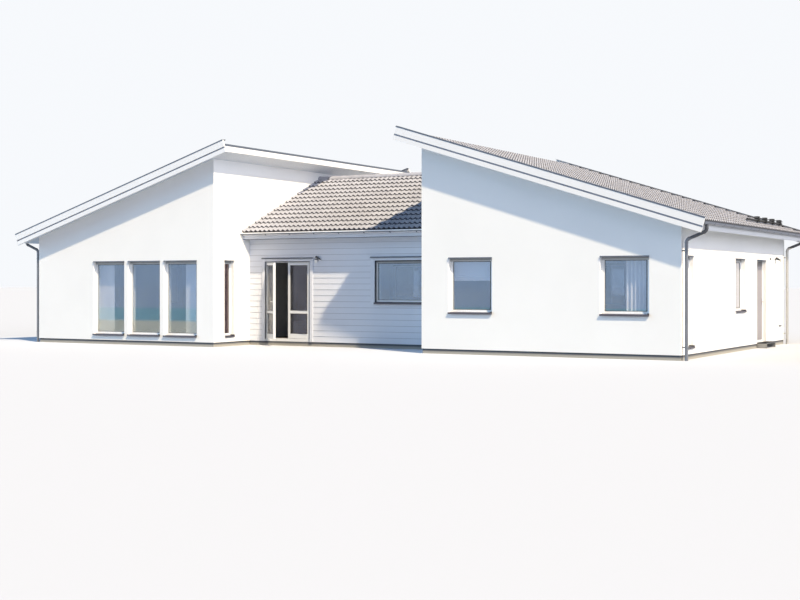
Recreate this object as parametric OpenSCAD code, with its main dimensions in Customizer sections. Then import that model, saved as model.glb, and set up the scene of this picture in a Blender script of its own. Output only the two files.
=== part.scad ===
// Single-storey beach house: two wings with opposed single-pitch roofs and a lower, clad
// middle part under a tiled gable roof between them. Millimetres, +Z up, the front faces -Y.
// The origin is on the underside of the foundation, at the centre of the plan.

/* [Plan] */
// Width of the left wing over the render
left_wing_w = 6413; // [6000:1:7200]
// Width of the middle part between the wings
middle_w = 6414; // [6000:1:7200]
// Width of the right wing over the render
right_wing_w = 6585; // [6000:1:7200]
// Depth of both wings over the render
wing_d = 9650; // [9400:1:10600]
// Distance of the middle facade behind the front of the wings
front_recess = 1653; // [1400:1:1800]
// Depth of the middle part over its boards
middle_d = 7302; // [6800:1:7500]
// Thickness of the outer walls
wall_t = 320; // [280:1:360]
// Thickness of the boarding on the middle part
cladding_t = 30; // [20:1:40]

/* [Levels] */
// Height of the plinth above the ground
plinth_h = 120; // [80:1:200]
// Distance of the plinth behind the wall face
plinth_inset = 20; // [5:1:40]
// Thickness of the floor on the foundation
floor_t = 60; // [40:1:90]

/* [Wing roofs] */
// Pitch of the wing roofs in degrees
wing_pitch = 17.5; // [15:0.5:19]
// Height of the verge's top line above the ground, over the low outer wall
wing_eave_h = 3385; // [3250:1:3600]
// Reach of the verges past the front and rear walls
verge_reach = 330; // [250:1:450]
// Reach of the verge's top corner past the low outer wall
low_reach = 640; // [560:1:720]
// Reach of the verge's top corner past the high inner wall
high_reach = 540; // [450:1:620]
// Depth of a verge, square to the slope
verge_depth = 352; // [330:1:380]
// Depth of the upper board of a verge, square to the slope
upper_board_depth = 200; // [150:1:240]
// Thickness of one board
board_t = 25; // [20:1:32]
// Depth of the soffit under the verge's top line, square to the slope
soffit_depth = 290; // [270:1:320]
// Depth of the tiles' crests under the verge's top line, square to the slope
tile_drop = 25; // [20:1:60]
// Thickness of the tile layer with its battens
tile_t = 70; // [50:1:75]
// Width of one wave of the tiles
tile_wave_w = 150; // [120:1:220]
// Depth of the tiles' waves
tile_wave_h = 36; // [20:1:40]
// Distance of the tiles' upper end from the high edge
tile_stop = 170; // [140:1:220]
// Depth of the high edge's flashing under the verge's top line
high_edge_drop = 120; // [110:1:140]
// Thickness of folded sheet
sheet_t = 4; // [3:1:6]
// Clearance between sloped layers that lie on each other
seat_gap = 0.3; // [0.2:0.1:0.5]
// Height of the folded face of a flashing
flashing_face = 62; // [40:1:80]
// Reach of a verge flashing over the tiles
flashing_cover = 110; // [80:1:140]

/* [Middle roof] */
// Pitch of the middle roof in degrees
middle_pitch = 23.5; // [22:0.5:24.5]
// Height of the tiles' crests above the ground, over the middle facade
middle_eave_h = 3375; // [3300:1:3450]
// Reach of the fascia past the middle facade
middle_reach = 300; // [240:1:360]
// Depth of the middle roof's soffit under the tiles' crests, square to the slope
middle_soffit_depth = 265; // [240:1:300]
// Height by which a fascia hangs below its soffit
fascia_lip = 10; // [8:1:30]
// Radius of the ridge tiles
ridge_r = 110; // [90:1:130]
// Height of the ridge tiles above the tiles' crests
ridge_rise = 35; // [20:1:50]

/* [Rainwater] */
// Radius of the gutters
gutter_r = 65; // [55:1:75]
// Distance of the gutter's edge behind the end of the verge
gutter_inset = 15; // [8:1:30]
// Height of the tiles above the gutter's edge
gutter_gap = 15; // [10:1:30]
// Diameter of the downpipes
pipe_d = 76; // [60:1:90]
// Distance of a downpipe's centre from the wall
pipe_off = 100; // [80:1:120]
// Distance of a downpipe's centre from the corner of the wall
pipe_corner = 60; // [50:1:100]
// Angle of a swan neck's slanted run from the vertical, in degrees
neck_angle = 68; // [55:1:75]
// Bend radius of a swan neck
neck_r = 95; // [80:1:110]
// Distance of a swan neck below the low fascia
neck_clear = 12; // [10:1:25]
// Height of a downpipe's collars and clips
collar_h = 30; // [20:1:40]
// Distance of a downpipe's clips from its bend and from the plinth
clip_drop = 180; // [120:1:260]

/* [Snow guard] */
// Distance of the snow guard from the low outer wall's face
guard_u = 95; // [40:1:200]
// Distance of the rails' front end from the front of the wings
guard_start = 5938; // [5600:1:6000]
// Length of the rails
guard_l = 3785; // [3400:1:3800]
// Distance between the brackets
guard_pitch = 813; // [700:1:900]
// Distance of the rear bracket from the rails' rear end
guard_end = 230; // [150:1:300]
// Height of a bracket above the tiles
guard_h = 130; // [110:1:160]
// Length of a bracket's foot
guard_foot = 150; // [110:1:180]
// Thickness of a bracket
guard_plate_t = 30; // [12:1:40]
// Radius of the lower rail
guard_rail_r = 20; // [14:1:24]
// Radius of the upper rail
guard_top_r = 11; // [8:1:16]

/* [Windows] */
// Height of every opening's head above the ground
head_h = 2340; // [2280:1:2400]
// Height of a low sill above the ground
low_sill_h = 277; // [240:1:320]
// Height of a normal sill above the ground
sill_h = 1014; // [950:1:1080]
// Height of the kitchen window's sill above the ground
kitchen_sill_h = 1208; // [1100:1:1300]
// Width of the three tall front windows
tall_w = 1150; // [1050:1:1200]
// Distance between the tall windows' left edges
tall_pitch = 1287; // [1260:1:1350]
// Distance of the first tall window from the corner
tall_start = 2114; // [1950:1:2250]
// Width of the slit windows
slit_w = 420; // [380:1:480]
// Distance of the slit windows from the front corner
slit_start = 490; // [450:1:560]
// Width of the square front windows
square_w = 1175; // [1100:1:1250]
// Distance of the square windows from the corners
square_start = 745; // [700:1:850]
// Width of the side windows
side_w = 903; // [850:1:950]
// Distance of the entrance side's window from the front
side_start = 4489; // [4300:1:4600]
// Width of the kitchen window
kitchen_w = 1748; // [1650:1:1850]
// Distance of the outer openings of the middle facade from the wings
middle_margin = 567; // [520:1:640]
// Distance of a window frame behind the render
frame_set = 95; // [75:1:120]
// Distance of a window frame behind the boards
clad_frame_set = 20; // [10:1:40]
// Width of a frame's bars
frame_w = 35; // [30:1:65]
// Depth of a frame
frame_d = 80; // [70:1:95]
// Width of a sash's bars
sash_w = 40; // [36:1:56]
// Distance of a sash's face behind its frame's face
sash_set = 12; // [8:1:16]
// Depth of a sash
sash_d = 56; // [50:1:60]
// Thickness of a sealed glass unit
glass_t = 28; // [24:1:36]
// Reach of a sill past the wall face
sill_reach = 35; // [25:1:50]
// Rise of a sill towards its frame
sill_rise = 16; // [8:1:20]
// Height of a sill's drip edge
sill_drip = 18; // [12:1:25]
// Reach of a head flashing past both ends of its opening
head_over = 4; // [2:1:30]
// Reach of a head flashing past the casings
casing_over = 15; // [8:1:30]
// Height of a head flashing on the wall
head_rise = 22; // [15:1:30]
// Reach of a head flashing past the wall face
head_reach = 34; // [25:1:45]
// Width of the casings beside the openings in the boards
casing_w = 118; // [100:1:140]
// Width of the casings beside the terrace door
door_casing_w = 88; // [70:1:140]
// Height of the casings over the openings
casing_head = 78; // [60:1:130]
// Height of the casings under the windows
casing_foot = 45; // [30:1:130]
// Thickness of the casings
casing_t = 22; // [18:1:28]

/* [Doors] */
// Distance of the terrace door's frame from the left wing
patio_start = 537; // [500:1:600]
// Width of the terrace door's frame
patio_w = 1506; // [1440:1:1560]
// Clearance around a door leaf
leaf_gap = 6; // [6:1:8]
// Clearance between the two terrace door leaves
meeting_gap = 10; // [9:1:14]
// Thickness of a door leaf
leaf_t = 58; // [50:1:64]
// Width of a terrace door leaf's stiles
stile_w = 68; // [60:1:105]
// Height of a terrace door leaf's bottom rail
bottom_rail_h = 130; // [110:1:160]
// Height of the terrace door's middle rail above its bottom edge
mid_rail_h = 690; // [650:1:900]
// Height of the middle rail
mid_rail_w = 80; // [60:1:100]
// Angle by which the left terrace door leaf stands open, in degrees
patio_open = 40; // [10:1:60]
// Thickness of a door frame's bars
jamb_w = 36; // [36:1:70]
// Depth of a door frame behind its leaf
door_rebate = 30; // [20:1:40]
// Height of a threshold above the floor
threshold_h = 20; // [10:1:30]
// Width of the entrance doorway
entry_w = 940; // [900:1:1000]
// Distance of the entrance doorway from the front
entry_start = 6620; // [6400:1:6800]
// Distance of the entrance door's frame behind the render
entry_set = 95; // [75:1:120]
// Radius of a hinge's knuckles
knuckle_r = 9; // [8:1:11]
// Height of one knuckle
knuckle_h = 30; // [24:1:36]
// Radius of a hinge pin
pin_r = 4; // [3:0.5:5]
// Running clearance of a hinge
hinge_gap = 0.3; // [0.2:0.1:0.5]
// Distance of the outer hinges from a leaf's ends
hinge_start = 200; // [150:1:280]
// Width of a hinge's flaps
flap_w = 30; // [20:1:36]
// Height of a handle above a leaf's bottom edge
handle_h = 1020; // [950:1:1080]
// Length of a lever handle
lever_l = 129; // [110:1:140]
// Height of a lever
lever_h = 18; // [14:1:22]
// Thickness of a lever
lever_t = 12; // [8:1:16]
// Length of a handle's stem
stem_l = 40; // [30:1:50]
// Width of a handle's plate
handle_w = 32; // [28:1:40]
// Height of a handle's plate
handle_plate_h = 180; // [150:1:220]
// Thickness of a handle's plate
handle_plate_t = 8; // [5:1:10]
// Depth of the entrance step
step_d = 260; // [200:1:320]
// Thickness of the entrance step's plate
step_t = 30; // [25:1:40]
// Height of the entrance step's tread above the plinth
step_rise = 30; // [10:1:40]
// Thickness of the step's side plates
step_side_t = 12; // [8:1:16]

/* [Wall lamps] */
// Height of the lamps' plates above the ground
lamp_z = 2350; // [2250:1:2400]
// Width of a lamp's plate
lamp_w = 80; // [70:1:100]
// Height of a lamp's plate
lamp_plate_h = 100; // [90:1:130]
// Thickness of a lamp's plate
lamp_plate_t = 30; // [24:1:40]
// Height of a lamp's head above the middle of its plate
lamp_rise = 95; // [80:1:120]
// Length of a lamp's head
lamp_l = 175; // [120:1:190]
// Radius of a lamp's head
lamp_r = 28; // [22:1:34]
// Angle of a lamp's head from the vertical, in degrees
lamp_tilt = 57; // [50:1:75]
// Distance of the terrace lamp from the door's casing
lamp_gap = 111; // [100:1:300]
// Distance of the sensor from the entrance doorway
sensor_gap = 445; // [300:1:500]
// Distance of the entrance lamp from the entrance doorway
entry_lamp_gap = 1015; // [900:1:1200]

/* [Passages] */
// Width of the passages from the middle part into the wings
passage_w = 2400; // [1800:1:2600]
// Height of the passages above the floor
passage_h = 2200; // [2100:1:2400]

/* [Hidden] */

LEFT = -1;
RIGHT = 1;
eps = 1;

// Edges of the plan
house_w = left_wing_w + middle_w + right_wing_w;
x_left = -house_w / 2;
x_left_in = x_left + left_wing_w;
x_right_in = x_left_in + middle_w;
x_right = house_w / 2;
y_front = -wing_d / 2;
y_rear = wing_d / 2;
y_mid_front = y_front + front_recess;
y_mid_rear = y_mid_front + middle_d;
y_ridge = (y_mid_front + y_mid_rear) / 2;
floor_z = plinth_h + floor_t;

// Slope of the wing roofs: s runs up the slope, n is the depth square under the verge's top line
cw = cos(wing_pitch);
sw = sin(wing_pitch);
tw = tan(wing_pitch);
function wing_w(side) = side == LEFT ? left_wing_w : right_wing_w;
function wing_z(u, n) = wing_eave_h + u * tw - n / cw;
function wing_pt(s, n) = [s * cw + n * sw, wing_eave_h + s * sw - n * cw];
function s_high(side) = (wing_w(side) + high_reach) / cw;
s_low = -low_reach / cw;
tile_under = tile_drop + tile_t;
// Shares of a wave's width at which its groove starts, gets its depth, leaves it and ends
wave_shares = [0.12, 0.36, 0.64, 0.88];
sleeve_in = collar_h / 6;
gutter_u = -low_reach + gutter_inset + gutter_r;
fascia_u = gutter_u + gutter_r;
low_fascia_z = wing_z(fascia_u, soffit_depth) - fascia_lip;
s_tile = (gutter_u - tile_drop * sw) / cw;
wing_gutter_z = wing_pt(s_tile, tile_under)[1] - gutter_gap;
verge_in = verge_reach - 2 * board_t;

// Slope of the middle roof: v is the distance behind the facade, n the depth under the crests
cm = cos(middle_pitch);
sm = sin(middle_pitch);
tm = tan(middle_pitch);
function mid_z(v, n) = middle_eave_h + v * tm - n / cm;
half_d = middle_d / 2;
ridge_z = mid_z(half_d, 0);
mid_gutter_v = -middle_reach - gutter_r;
mid_gutter_z = mid_z(mid_gutter_v, tile_t) - gutter_gap;
mid_fascia_z = mid_z(-middle_reach, middle_soffit_depth) - fascia_lip;

// Openings, each as [turn, x, y, sill, width, height, setback]: the corner is the lower left
// one of the opening on the wall face, seen from outside
tall_h = head_h - low_sill_h;
normal_h = head_h - sill_h;
left_front_windows = [
    for (i = [0:2]) [0, x_left + tall_start + i * tall_pitch, y_front, low_sill_h, tall_w, tall_h, frame_set]
];
right_front_windows = [
    for (x = [x_right_in + square_start, x_right - square_start - square_w])
        [0, x, y_front, sill_h, square_w, normal_h, frame_set]
];
left_slit = [[90, x_left_in, y_front + slit_start, low_sill_h, slit_w, tall_h, frame_set]];
right_side_windows = [
    [90, x_right, y_front + slit_start, low_sill_h, slit_w, tall_h, frame_set],
    [90, x_right, y_front + side_start, sill_h, side_w, normal_h, frame_set],
];
left_side_windows = [
    for (y = [y_front + side_start / 2, y_front + side_start + side_w])
        [-90, x_left, y + side_w, sill_h, side_w, normal_h, frame_set]
];
left_rear_windows = [
    for (x = [x_left_in - square_start, x_left + square_start + square_w])
        [180, x, y_rear, sill_h, square_w, normal_h, frame_set]
];
right_rear_windows = [
    for (x = [x_right - square_start, x_right_in + square_start + square_w])
        [180, x, y_rear, sill_h, square_w, normal_h, frame_set]
];
kitchen_h = head_h - kitchen_sill_h;
kitchen_window = [
    [0, x_right_in - middle_margin - kitchen_w, y_mid_front, kitchen_sill_h, kitchen_w, kitchen_h, clad_frame_set]
];
middle_rear_windows = [
    for (x = [x_right_in - middle_margin, x_left_in + middle_margin + kitchen_w])
        [180, x, y_mid_rear, kitchen_sill_h, kitchen_w, kitchen_h, clad_frame_set]
];
render_windows = concat(
    left_front_windows, right_front_windows, left_slit, right_side_windows,
    left_side_windows, left_rear_windows, right_rear_windows
);
clad_windows = concat(kitchen_window, middle_rear_windows);
windows = concat(render_windows, clad_windows);

// Doorways
x_patio = x_left_in + patio_start;
y_patio = y_mid_front + clad_frame_set;
y_entry = y_front + entry_start;
x_entry = x_right - entry_set;
door_frame_d = leaf_t + door_rebate;
leaf_z = floor_z + threshold_h + leaf_gap;
leaf_h = head_h - jamb_w - leaf_gap - leaf_z;
patio_leaf_w = (patio_w - 2 * (jamb_w + leaf_gap) - meeting_gap) / 2;
entry_leaf_w = entry_w - 2 * (jamb_w + leaf_gap);
hinge_heights = [hinge_start, leaf_h / 2, leaf_h - hinge_start - 3 * knuckle_h];
y_passage = y_ridge - passage_w / 2;
passage_top = floor_z + passage_h;

// Places the children in a wing's own frame, where u runs inwards from the low outer face
module on_wing(side) {
    if (side == LEFT) translate([x_left, 0, 0]) children();
    else translate([x_right, 0, 0]) mirror([1, 0, 0]) children();
}

// Runs an outline drawn in the plane of u and height along the house from y0 to y1
module run_y(y0, y1) {
    translate([0, y1, 0]) rotate([90, 0, 0]) linear_extrude(y1 - y0) children();
}

// Runs an outline drawn in the plane of y and height across the house from x0 to x1
module run_x(x0, x1) {
    translate([x0, 0, 0]) rotate([90, 0, 90]) linear_extrude(x1 - x0) children();
}

// Plate on a wing roof from s0 to s1 up the slope and between two depths
module slope_plate(s0, s1, y0, y1, n0, n1) {
    translate([0, 0, wing_eave_h]) rotate([0, -wing_pitch, 0])
        translate([s0, y0, -n1]) cube([s1 - s0, y1 - y0, n1 - n0]);
}

// Places the children at the lower left corner of an opening, with -Y pointing outwards
module at_opening(v) {
    translate([v[1], v[2], v[3]]) rotate([0, 0, v[0]]) children();
}

// Holes for a list of windows
module holes(list) {
    for (v = list) at_opening(v) translate([0, -eps, 0]) cube([v[4], wall_t + 2 * eps, v[5]]);
}

// Outline of a wing's wall between two distances from the low face, under the sloped soffit
module wing_outline(u0, u1, z0) {
    n = soffit_depth + seat_gap;
    polygon([[u0, z0], [u1, z0], [u1, wing_z(u1, n)], [u0, wing_z(u0, n)]]);
}

// Foundation slab with its set-back plinth, under all three parts
module foundation() {
    color("dimgray") union() {
        wing_slab(x_left, left_wing_w);
        wing_slab(x_right - right_wing_w, right_wing_w);
        translate([x_left_in - 2 * plinth_inset, y_mid_front + plinth_inset, 0])
            cube([middle_w + 4 * plinth_inset, middle_d - 2 * plinth_inset, plinth_h]);
    }
}

module wing_slab(x, w) {
    translate([x + plinth_inset, y_front + plinth_inset, 0])
        cube([w - 2 * plinth_inset, wing_d - 2 * plinth_inset, plinth_h]);
}

// Floor between the walls, which runs through the passages and up to the door frames
module floor_plate() {
    color("tan") translate([0, 0, plinth_h]) linear_extrude(floor_t) {
        translate([x_left + wall_t, y_front + wall_t])
            square([left_wing_w - 2 * wall_t, wing_d - 2 * wall_t]);
        translate([x_right_in + wall_t, y_front + wall_t])
            square([right_wing_w - 2 * wall_t, wing_d - 2 * wall_t]);
        translate([x_left_in, y_mid_front + wall_t]) square([middle_w, middle_d - 2 * wall_t]);
        translate([x_left_in - wall_t - eps, y_passage])
            square([middle_w + 2 * (wall_t + eps), passage_w]);
        translate([x_patio, y_patio + door_frame_d])
            square([patio_w, wall_t - clad_frame_set - door_frame_d + eps]);
        translate([x_right - wall_t - eps, y_entry])
            square([wall_t - entry_set - door_frame_d + eps, entry_w]);
    }
}

// Front or rear wall of a wing, under the sloped roof
module gable_wall(side, y, list) {
    color("white") difference() {
        on_wing(side) run_y(y, y + wall_t) wing_outline(0, wing_w(side), plinth_h);
        holes(list);
    }
}

// Piece of a wing's side wall between y0 and y1, from u0 to u1
module side_wall(side, u0, u1, y0, y1, z0, list) {
    color("white") difference() {
        on_wing(side) run_y(y0, y1) wing_outline(u0, u1, z0);
        holes(list);
    }
}

module inner_wall(side, y0, y1, z0, list) {
    side_wall(side, wing_w(side) - wall_t, wing_w(side), y0, y1, z0, list);
}

module outer_wall(side, y0, y1, z0, list) {
    side_wall(side, 0, wall_t, y0, y1, z0, list);
}

// Cross-section of the middle part's wall from y0 to y1 behind the facade
module middle_outline(v0, v1, z0) {
    n = middle_soffit_depth + seat_gap;
    polygon([[v0, z0], [v1, z0], [v1, mid_z(v1, n)], [v0, mid_z(v0, n)]]);
}

// Piece of the middle part's front wall from x0 to x1, behind its boards
module front_wall_piece(x0, x1, z0, list) {
    color("gainsboro") difference() {
        translate([0, y_mid_front, 0]) run_x(x0, x1) middle_outline(cladding_t, wall_t, z0);
        holes(list);
    }
}

module middle_rear_wall() {
    color("gainsboro") difference() {
        translate([0, y_mid_rear, 0]) mirror([0, 1, 0])
            run_x(x_left_in, x_right_in) middle_outline(cladding_t, wall_t, plinth_h);
        holes(middle_rear_windows);
    }
}

// Boarding on the front and rear of the middle part
module middle_cladding() {
    color("whitesmoke") difference() {
        union() {
            translate([0, y_mid_front, 0])
                run_x(x_left_in, x_right_in) middle_outline(0, cladding_t, plinth_h);
            translate([0, y_mid_rear, 0]) mirror([0, 1, 0])
                run_x(x_left_in, x_right_in) middle_outline(0, cladding_t, plinth_h);
        }
        holes(clad_windows);
        translate([x_patio, y_mid_front - eps, plinth_h - eps])
            cube([patio_w, wall_t, head_h - plinth_h + eps]);
    }
}

// Casing boards around the openings in the boarding, and at its ends
module middle_casings() {
    color("white") {
        for (v = clad_windows) at_opening(v) difference() {
            translate([-casing_w, -casing_t, -casing_foot])
                cube([v[4] + 2 * casing_w, casing_t, v[5] + casing_foot + casing_head]);
            translate([0, -casing_t - eps, 0]) cube([v[4], casing_t + 2 * eps, v[5]]);
        }
        translate([x_patio, y_mid_front, 0]) difference() {
            translate([-door_casing_w, -casing_t, plinth_h])
                cube([patio_w + 2 * door_casing_w, casing_t, head_h + casing_head - plinth_h]);
            translate([0, -casing_t - eps, plinth_h - eps])
                cube([patio_w, casing_t + 2 * eps, head_h - plinth_h + eps]);
        }
    }
}

// Rafters, insulation and soffit of a wing roof, as one plate with a plumb cut at the eave
module wing_roof(side) {
    top = s_high(side) - board_t - seat_gap;
    shelf = high_edge_drop + sheet_t + seat_gap;
    u0 = fascia_u + board_t;
    color("gainsboro") on_wing(side)
        run_y(y_front - verge_in, y_rear + verge_in) polygon([
            [u0, wing_z(u0, tile_under)], [u0, wing_z(u0, soffit_depth)],
            wing_pt(top, soffit_depth), wing_pt(top, shelf),
            wing_pt(top - tile_stop + board_t, shelf),
            wing_pt(top - tile_stop + board_t, tile_under)
        ]);
}

// Tile layer of a wing roof between the verges
module wing_tiles(side) {
    s1 = s_high(side) - tile_stop;
    y0 = y_front - verge_in;
    y1 = y_rear + verge_in;
    color("darkgray") on_wing(side) difference() {
        slope_plate(s_tile, s1, y0, y1, tile_drop, tile_under - seat_gap);
        translate([0, 0, wing_eave_h]) rotate([0, -wing_pitch, 0])
            translate([s_tile - 1, y0, -tile_drop]) rotate([90, 0, 90])
                linear_extrude(s1 - s_tile + 2) wave_grooves(y1 - y0);
    }
}

// Outline of the grooves between the tiles' waves over a width w, with the crests at height 0
module wave_grooves(w) {
    waves = round(w / tile_wave_w);
    pitch = w / waves;
    heights = [1, -tile_wave_h, -tile_wave_h, 1];
    polygon(concat(
        [for (i = [0:waves - 1], k = [0:3]) [(i + wave_shares[k]) * pitch, heights[k]]],
        [[w + 1, 1], [w + 1, tile_t], [-1, tile_t], [-1, 1]]
    ));
}

// Verge boards in two layers with the high and low fascia boards between them
module wing_roof_boards(side) {
    top = s_high(side);
    color("white") on_wing(side) {
        for (end = [0, 1]) mirror([0, end, 0]) {
            slope_plate(s_low, top, y_front - verge_in - board_t, y_front - verge_in,
                sheet_t, verge_depth);
            slope_plate(s_low, top, y_front - verge_reach, y_front - verge_in - board_t,
                sheet_t, upper_board_depth);
        }
        slope_plate(top - board_t, top, y_front - verge_in, y_rear + verge_in,
            high_edge_drop + sheet_t, verge_depth - fascia_lip);
        run_y(y_front - verge_in, y_rear + verge_in) polygon([
            [fascia_u, wing_z(fascia_u, tile_under)], [fascia_u, low_fascia_z],
            [fascia_u + board_t, low_fascia_z],
            [fascia_u + board_t, wing_z(fascia_u + board_t, tile_under)]
        ]);
    }
}

// Verge flashings over the boards and the flashing along the high edge
module wing_flashings(side) {
    top = s_high(side);
    color("slategray") on_wing(side) {
        for (end = [0, 1]) mirror([0, end, 0]) {
            slope_plate(s_low, top + sheet_t, y_front - verge_reach - sheet_t,
                y_front - verge_in + flashing_cover, 0, sheet_t);
            slope_plate(s_low, top + sheet_t, y_front - verge_reach - sheet_t,
                y_front - verge_reach, 0, flashing_face / 2);
        }
        slope_plate(top - tile_stop + sheet_t, top + sheet_t, y_front - verge_in, y_rear + verge_in,
            high_edge_drop, high_edge_drop + sheet_t);
        slope_plate(top, top + sheet_t, y_front - verge_in, y_rear + verge_in,
            high_edge_drop, high_edge_drop + flashing_face);
    }
}

// Outline of one slope of the middle roof between two depths, from the eave to the ridge
module middle_slope(v0, n0, n1) {
    polygon([
        [v0, mid_z(v0, n0)], [v0, mid_z(v0, n1)],
        [half_d, mid_z(half_d, n1)], [half_d, mid_z(half_d, n0)]
    ]);
}

// Runs an outline for one slope across the middle part, for both slopes
module both_slopes() {
    for (end = [0, 1])
        translate([0, y_ridge, 0]) mirror([0, end, 0]) translate([0, -half_d, 0])
            run_x(x_left_in, x_right_in) children();
}

module middle_roof() {
    color("gainsboro") both_slopes()
        middle_slope(board_t - middle_reach, tile_t, middle_soffit_depth);
}

module middle_tiles() {
    slope_l = (half_d - mid_gutter_v) / cm + tile_t;
    color("darkgray") difference() {
        both_slopes() middle_slope(mid_gutter_v, 0, tile_t - seat_gap);
        for (end = [0, 1]) translate([0, y_ridge, 0]) mirror([0, end, 0])
            translate([x_left_in, 0, ridge_z]) rotate([middle_pitch + 90, 0, 0])
                linear_extrude(slope_l) wave_grooves(middle_w);
    }
}

module middle_fascias() {
    v1 = board_t - middle_reach;
    color("white") both_slopes() polygon([
        [-middle_reach, mid_z(-middle_reach, tile_t)], [-middle_reach, mid_fascia_z],
        [v1, mid_fascia_z], [v1, mid_z(v1, tile_t)]
    ]);
}

// Half-round ridge covering that sits on both slopes
module ridge_tiles() {
    color("darkgray") translate([0, y_ridge, 0]) run_x(x_left_in, x_right_in) difference() {
        translate([0, ridge_z + ridge_rise - ridge_r]) circle(r = ridge_r, $fn = 64);
        translate([0, ridge_z + seat_gap]) polygon([
            [0, 0], [2 * ridge_r, -2 * ridge_r * tm],
            [0, -4 * ridge_r], [-2 * ridge_r, -2 * ridge_r * tm]
        ]);
    }
}

// Half-round gutter from y = 0 to its length, with its edge at the origin's height
module gutter(length) {
    run_y(0, length) difference() {
        circle(r = gutter_r, $fn = 48);
        circle(r = gutter_r - sheet_t, $fn = 48);
        translate([-2 * gutter_r, 0]) square([4 * gutter_r, 2 * gutter_r]);
    }
    for (y = [0, length - sheet_t]) run_y(y, y + sheet_t) difference() {
        circle(r = gutter_r, $fn = 48);
        translate([-2 * gutter_r, 0]) square([4 * gutter_r, 2 * gutter_r]);
    }
}

module gutters() {
    color("gray") {
        for (side = [LEFT, RIGHT]) on_wing(side)
            translate([gutter_u, y_front - verge_in, wing_gutter_z]) gutter(wing_d + 2 * verge_in);
        for (end = [0, 1])
            translate([0, y_ridge, 0]) mirror([0, end, 0])
                translate([x_right_in, mid_gutter_v - half_d, mid_gutter_z])
                    rotate([0, 0, 90]) gutter(middle_w);
    }
}

// Downpipe that leaves the gutter at the origin, passes under a fascia with its lower edge at
// a given height, steps across by run and ends at the ground
module downpipe(run, top, fascia_z) {
    r = pipe_d / 2;
    slant = (run - 2 * neck_r * (1 - cos(neck_angle))) / sin(neck_angle);
    drop = 2 * neck_r * sin(neck_angle) + slant * cos(neck_angle);
    z1 = fascia_z + (neck_r - r) * sin(neck_angle) - neck_clear;
    z2 = z1 - drop;
    translate([0, 0, z1 + sleeve_in]) cylinder(r = r, h = top - z1 - sleeve_in, $fn = 32);
    sleeve_at(z1);
    translate([neck_r, 0, z1]) rotate([0, 180, 0]) neck_bend();
    translate([neck_r * (1 - cos(neck_angle)), 0, z1 - neck_r * sin(neck_angle)])
        rotate([0, 180 - neck_angle, 0]) {
            translate([0, 0, sleeve_in]) cylinder(r = r, h = slant - 2 * sleeve_in, $fn = 32);
            sleeve_at(0);
            sleeve_at(slant);
        }
    translate([run - neck_r, 0, z2]) neck_bend();
    translate([run, 0, 0]) {
        cylinder(r = r, h = z2 - sleeve_in, $fn = 32);
        sleeve_at(z2);
        for (z = [z2 - clip_drop, plinth_h + clip_drop]) {
            sleeve_at(z);
            translate([0, -r / 2, z - collar_h / 2]) cube([pipe_off, r, collar_h]);
        }
    }
}

module neck_bend() {
    rotate([90, 0, 0]) rotate_extrude(angle = neck_angle, $fn = 64)
        translate([neck_r, 0]) circle(r = pipe_d / 2, $fn = 32);
}

module sleeve_at(z) {
    translate([0, 0, z - collar_h / 2]) cylinder(r = pipe_d / 2 + sheet_t, h = collar_h, $fn = 32);
}

// Four downpipes at the corners of the wings, and two in the inner corners of the middle part
module downpipes() {
    color("silver") {
        for (side = [LEFT, RIGHT]) on_wing(side) for (end = [0, 1]) mirror([0, end, 0])
            translate([gutter_u, y_front + pipe_corner, 0])
                downpipe(-pipe_off - gutter_u, wing_gutter_z - gutter_r, low_fascia_z);
        for (end = [0, 1]) translate([0, y_ridge, 0]) mirror([0, end, 0])
            translate([x_right_in - pipe_corner, mid_gutter_v - half_d, 0]) rotate([0, 0, 90])
                downpipe(-pipe_off - mid_gutter_v, mid_gutter_z - gutter_r, mid_fascia_z);
    }
}

// Two-rail snow guard on tapered brackets that stand on the tiles, above the entrance
module snow_guard() {
    rail_h = guard_rail_r + guard_h / 5;
    color("black") on_wing(RIGHT) translate([0, 0, wing_eave_h]) rotate([0, -wing_pitch, 0])
        translate([guard_u / cw, y_front + guard_start, -tile_drop]) {
            for (n = [0:3]) translate([0, guard_l - guard_end - n * guard_pitch, 0])
                rotate([90, 0, 0]) linear_extrude(guard_plate_t) polygon([
                    [-guard_foot / 2, 0], [guard_foot / 2, 0],
                    [guard_top_r * 2, guard_h], [-guard_top_r * 2, guard_h]
                ]);
            for (rail = [[guard_rail_r, rail_h], [guard_top_r, guard_h - 2 * guard_top_r]])
                translate([0, 0, rail[1]]) rotate([-90, 0, 0])
                    cylinder(r = rail[0], h = guard_l, $fn = 24);
        }
}

// Frame and sash of a window, as one ring with a step
module window_frame(w, h) {
    difference() {
        cube([w, frame_d, h]);
        translate([frame_w, -eps, frame_w]) cube([w - 2 * frame_w, sash_set + eps, h - 2 * frame_w]);
        translate([frame_w + sash_w, -eps, frame_w + sash_w])
            cube([w - 2 * (frame_w + sash_w), frame_d + 2 * eps, h - 2 * (frame_w + sash_w)]);
        translate([frame_w, sash_set + sash_d, frame_w])
            cube([w - 2 * frame_w, frame_d, h - 2 * frame_w]);
    }
}

module window_frames() {
    color("white") for (v = windows) at_opening(v) translate([0, v[6], 0]) window_frame(v[4], v[5]);
}

module window_glass() {
    inset = frame_w + sash_w;
    color("lightblue") for (v = windows) at_opening(v)
        translate([inset, v[6] + sash_set + (sash_d - glass_t) / 2, inset])
            cube([v[4] - 2 * inset, glass_t, v[5] - 2 * inset]);
}

// Folded sheet sills in front of the frames, with a drip edge
module window_sills() {
    color("gray") for (v = windows) at_opening(v) {
        reach = sill_reach + (v[6] == clad_frame_set ? casing_t : 0);
        run_x(0, v[4]) polygon([
            [v[6], 0], [v[6], sill_rise], [-reach, sheet_t], [-reach, -sill_drip],
            [sheet_t - reach, -sill_drip], [sheet_t - reach, 0]
        ]);
    }
}

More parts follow.
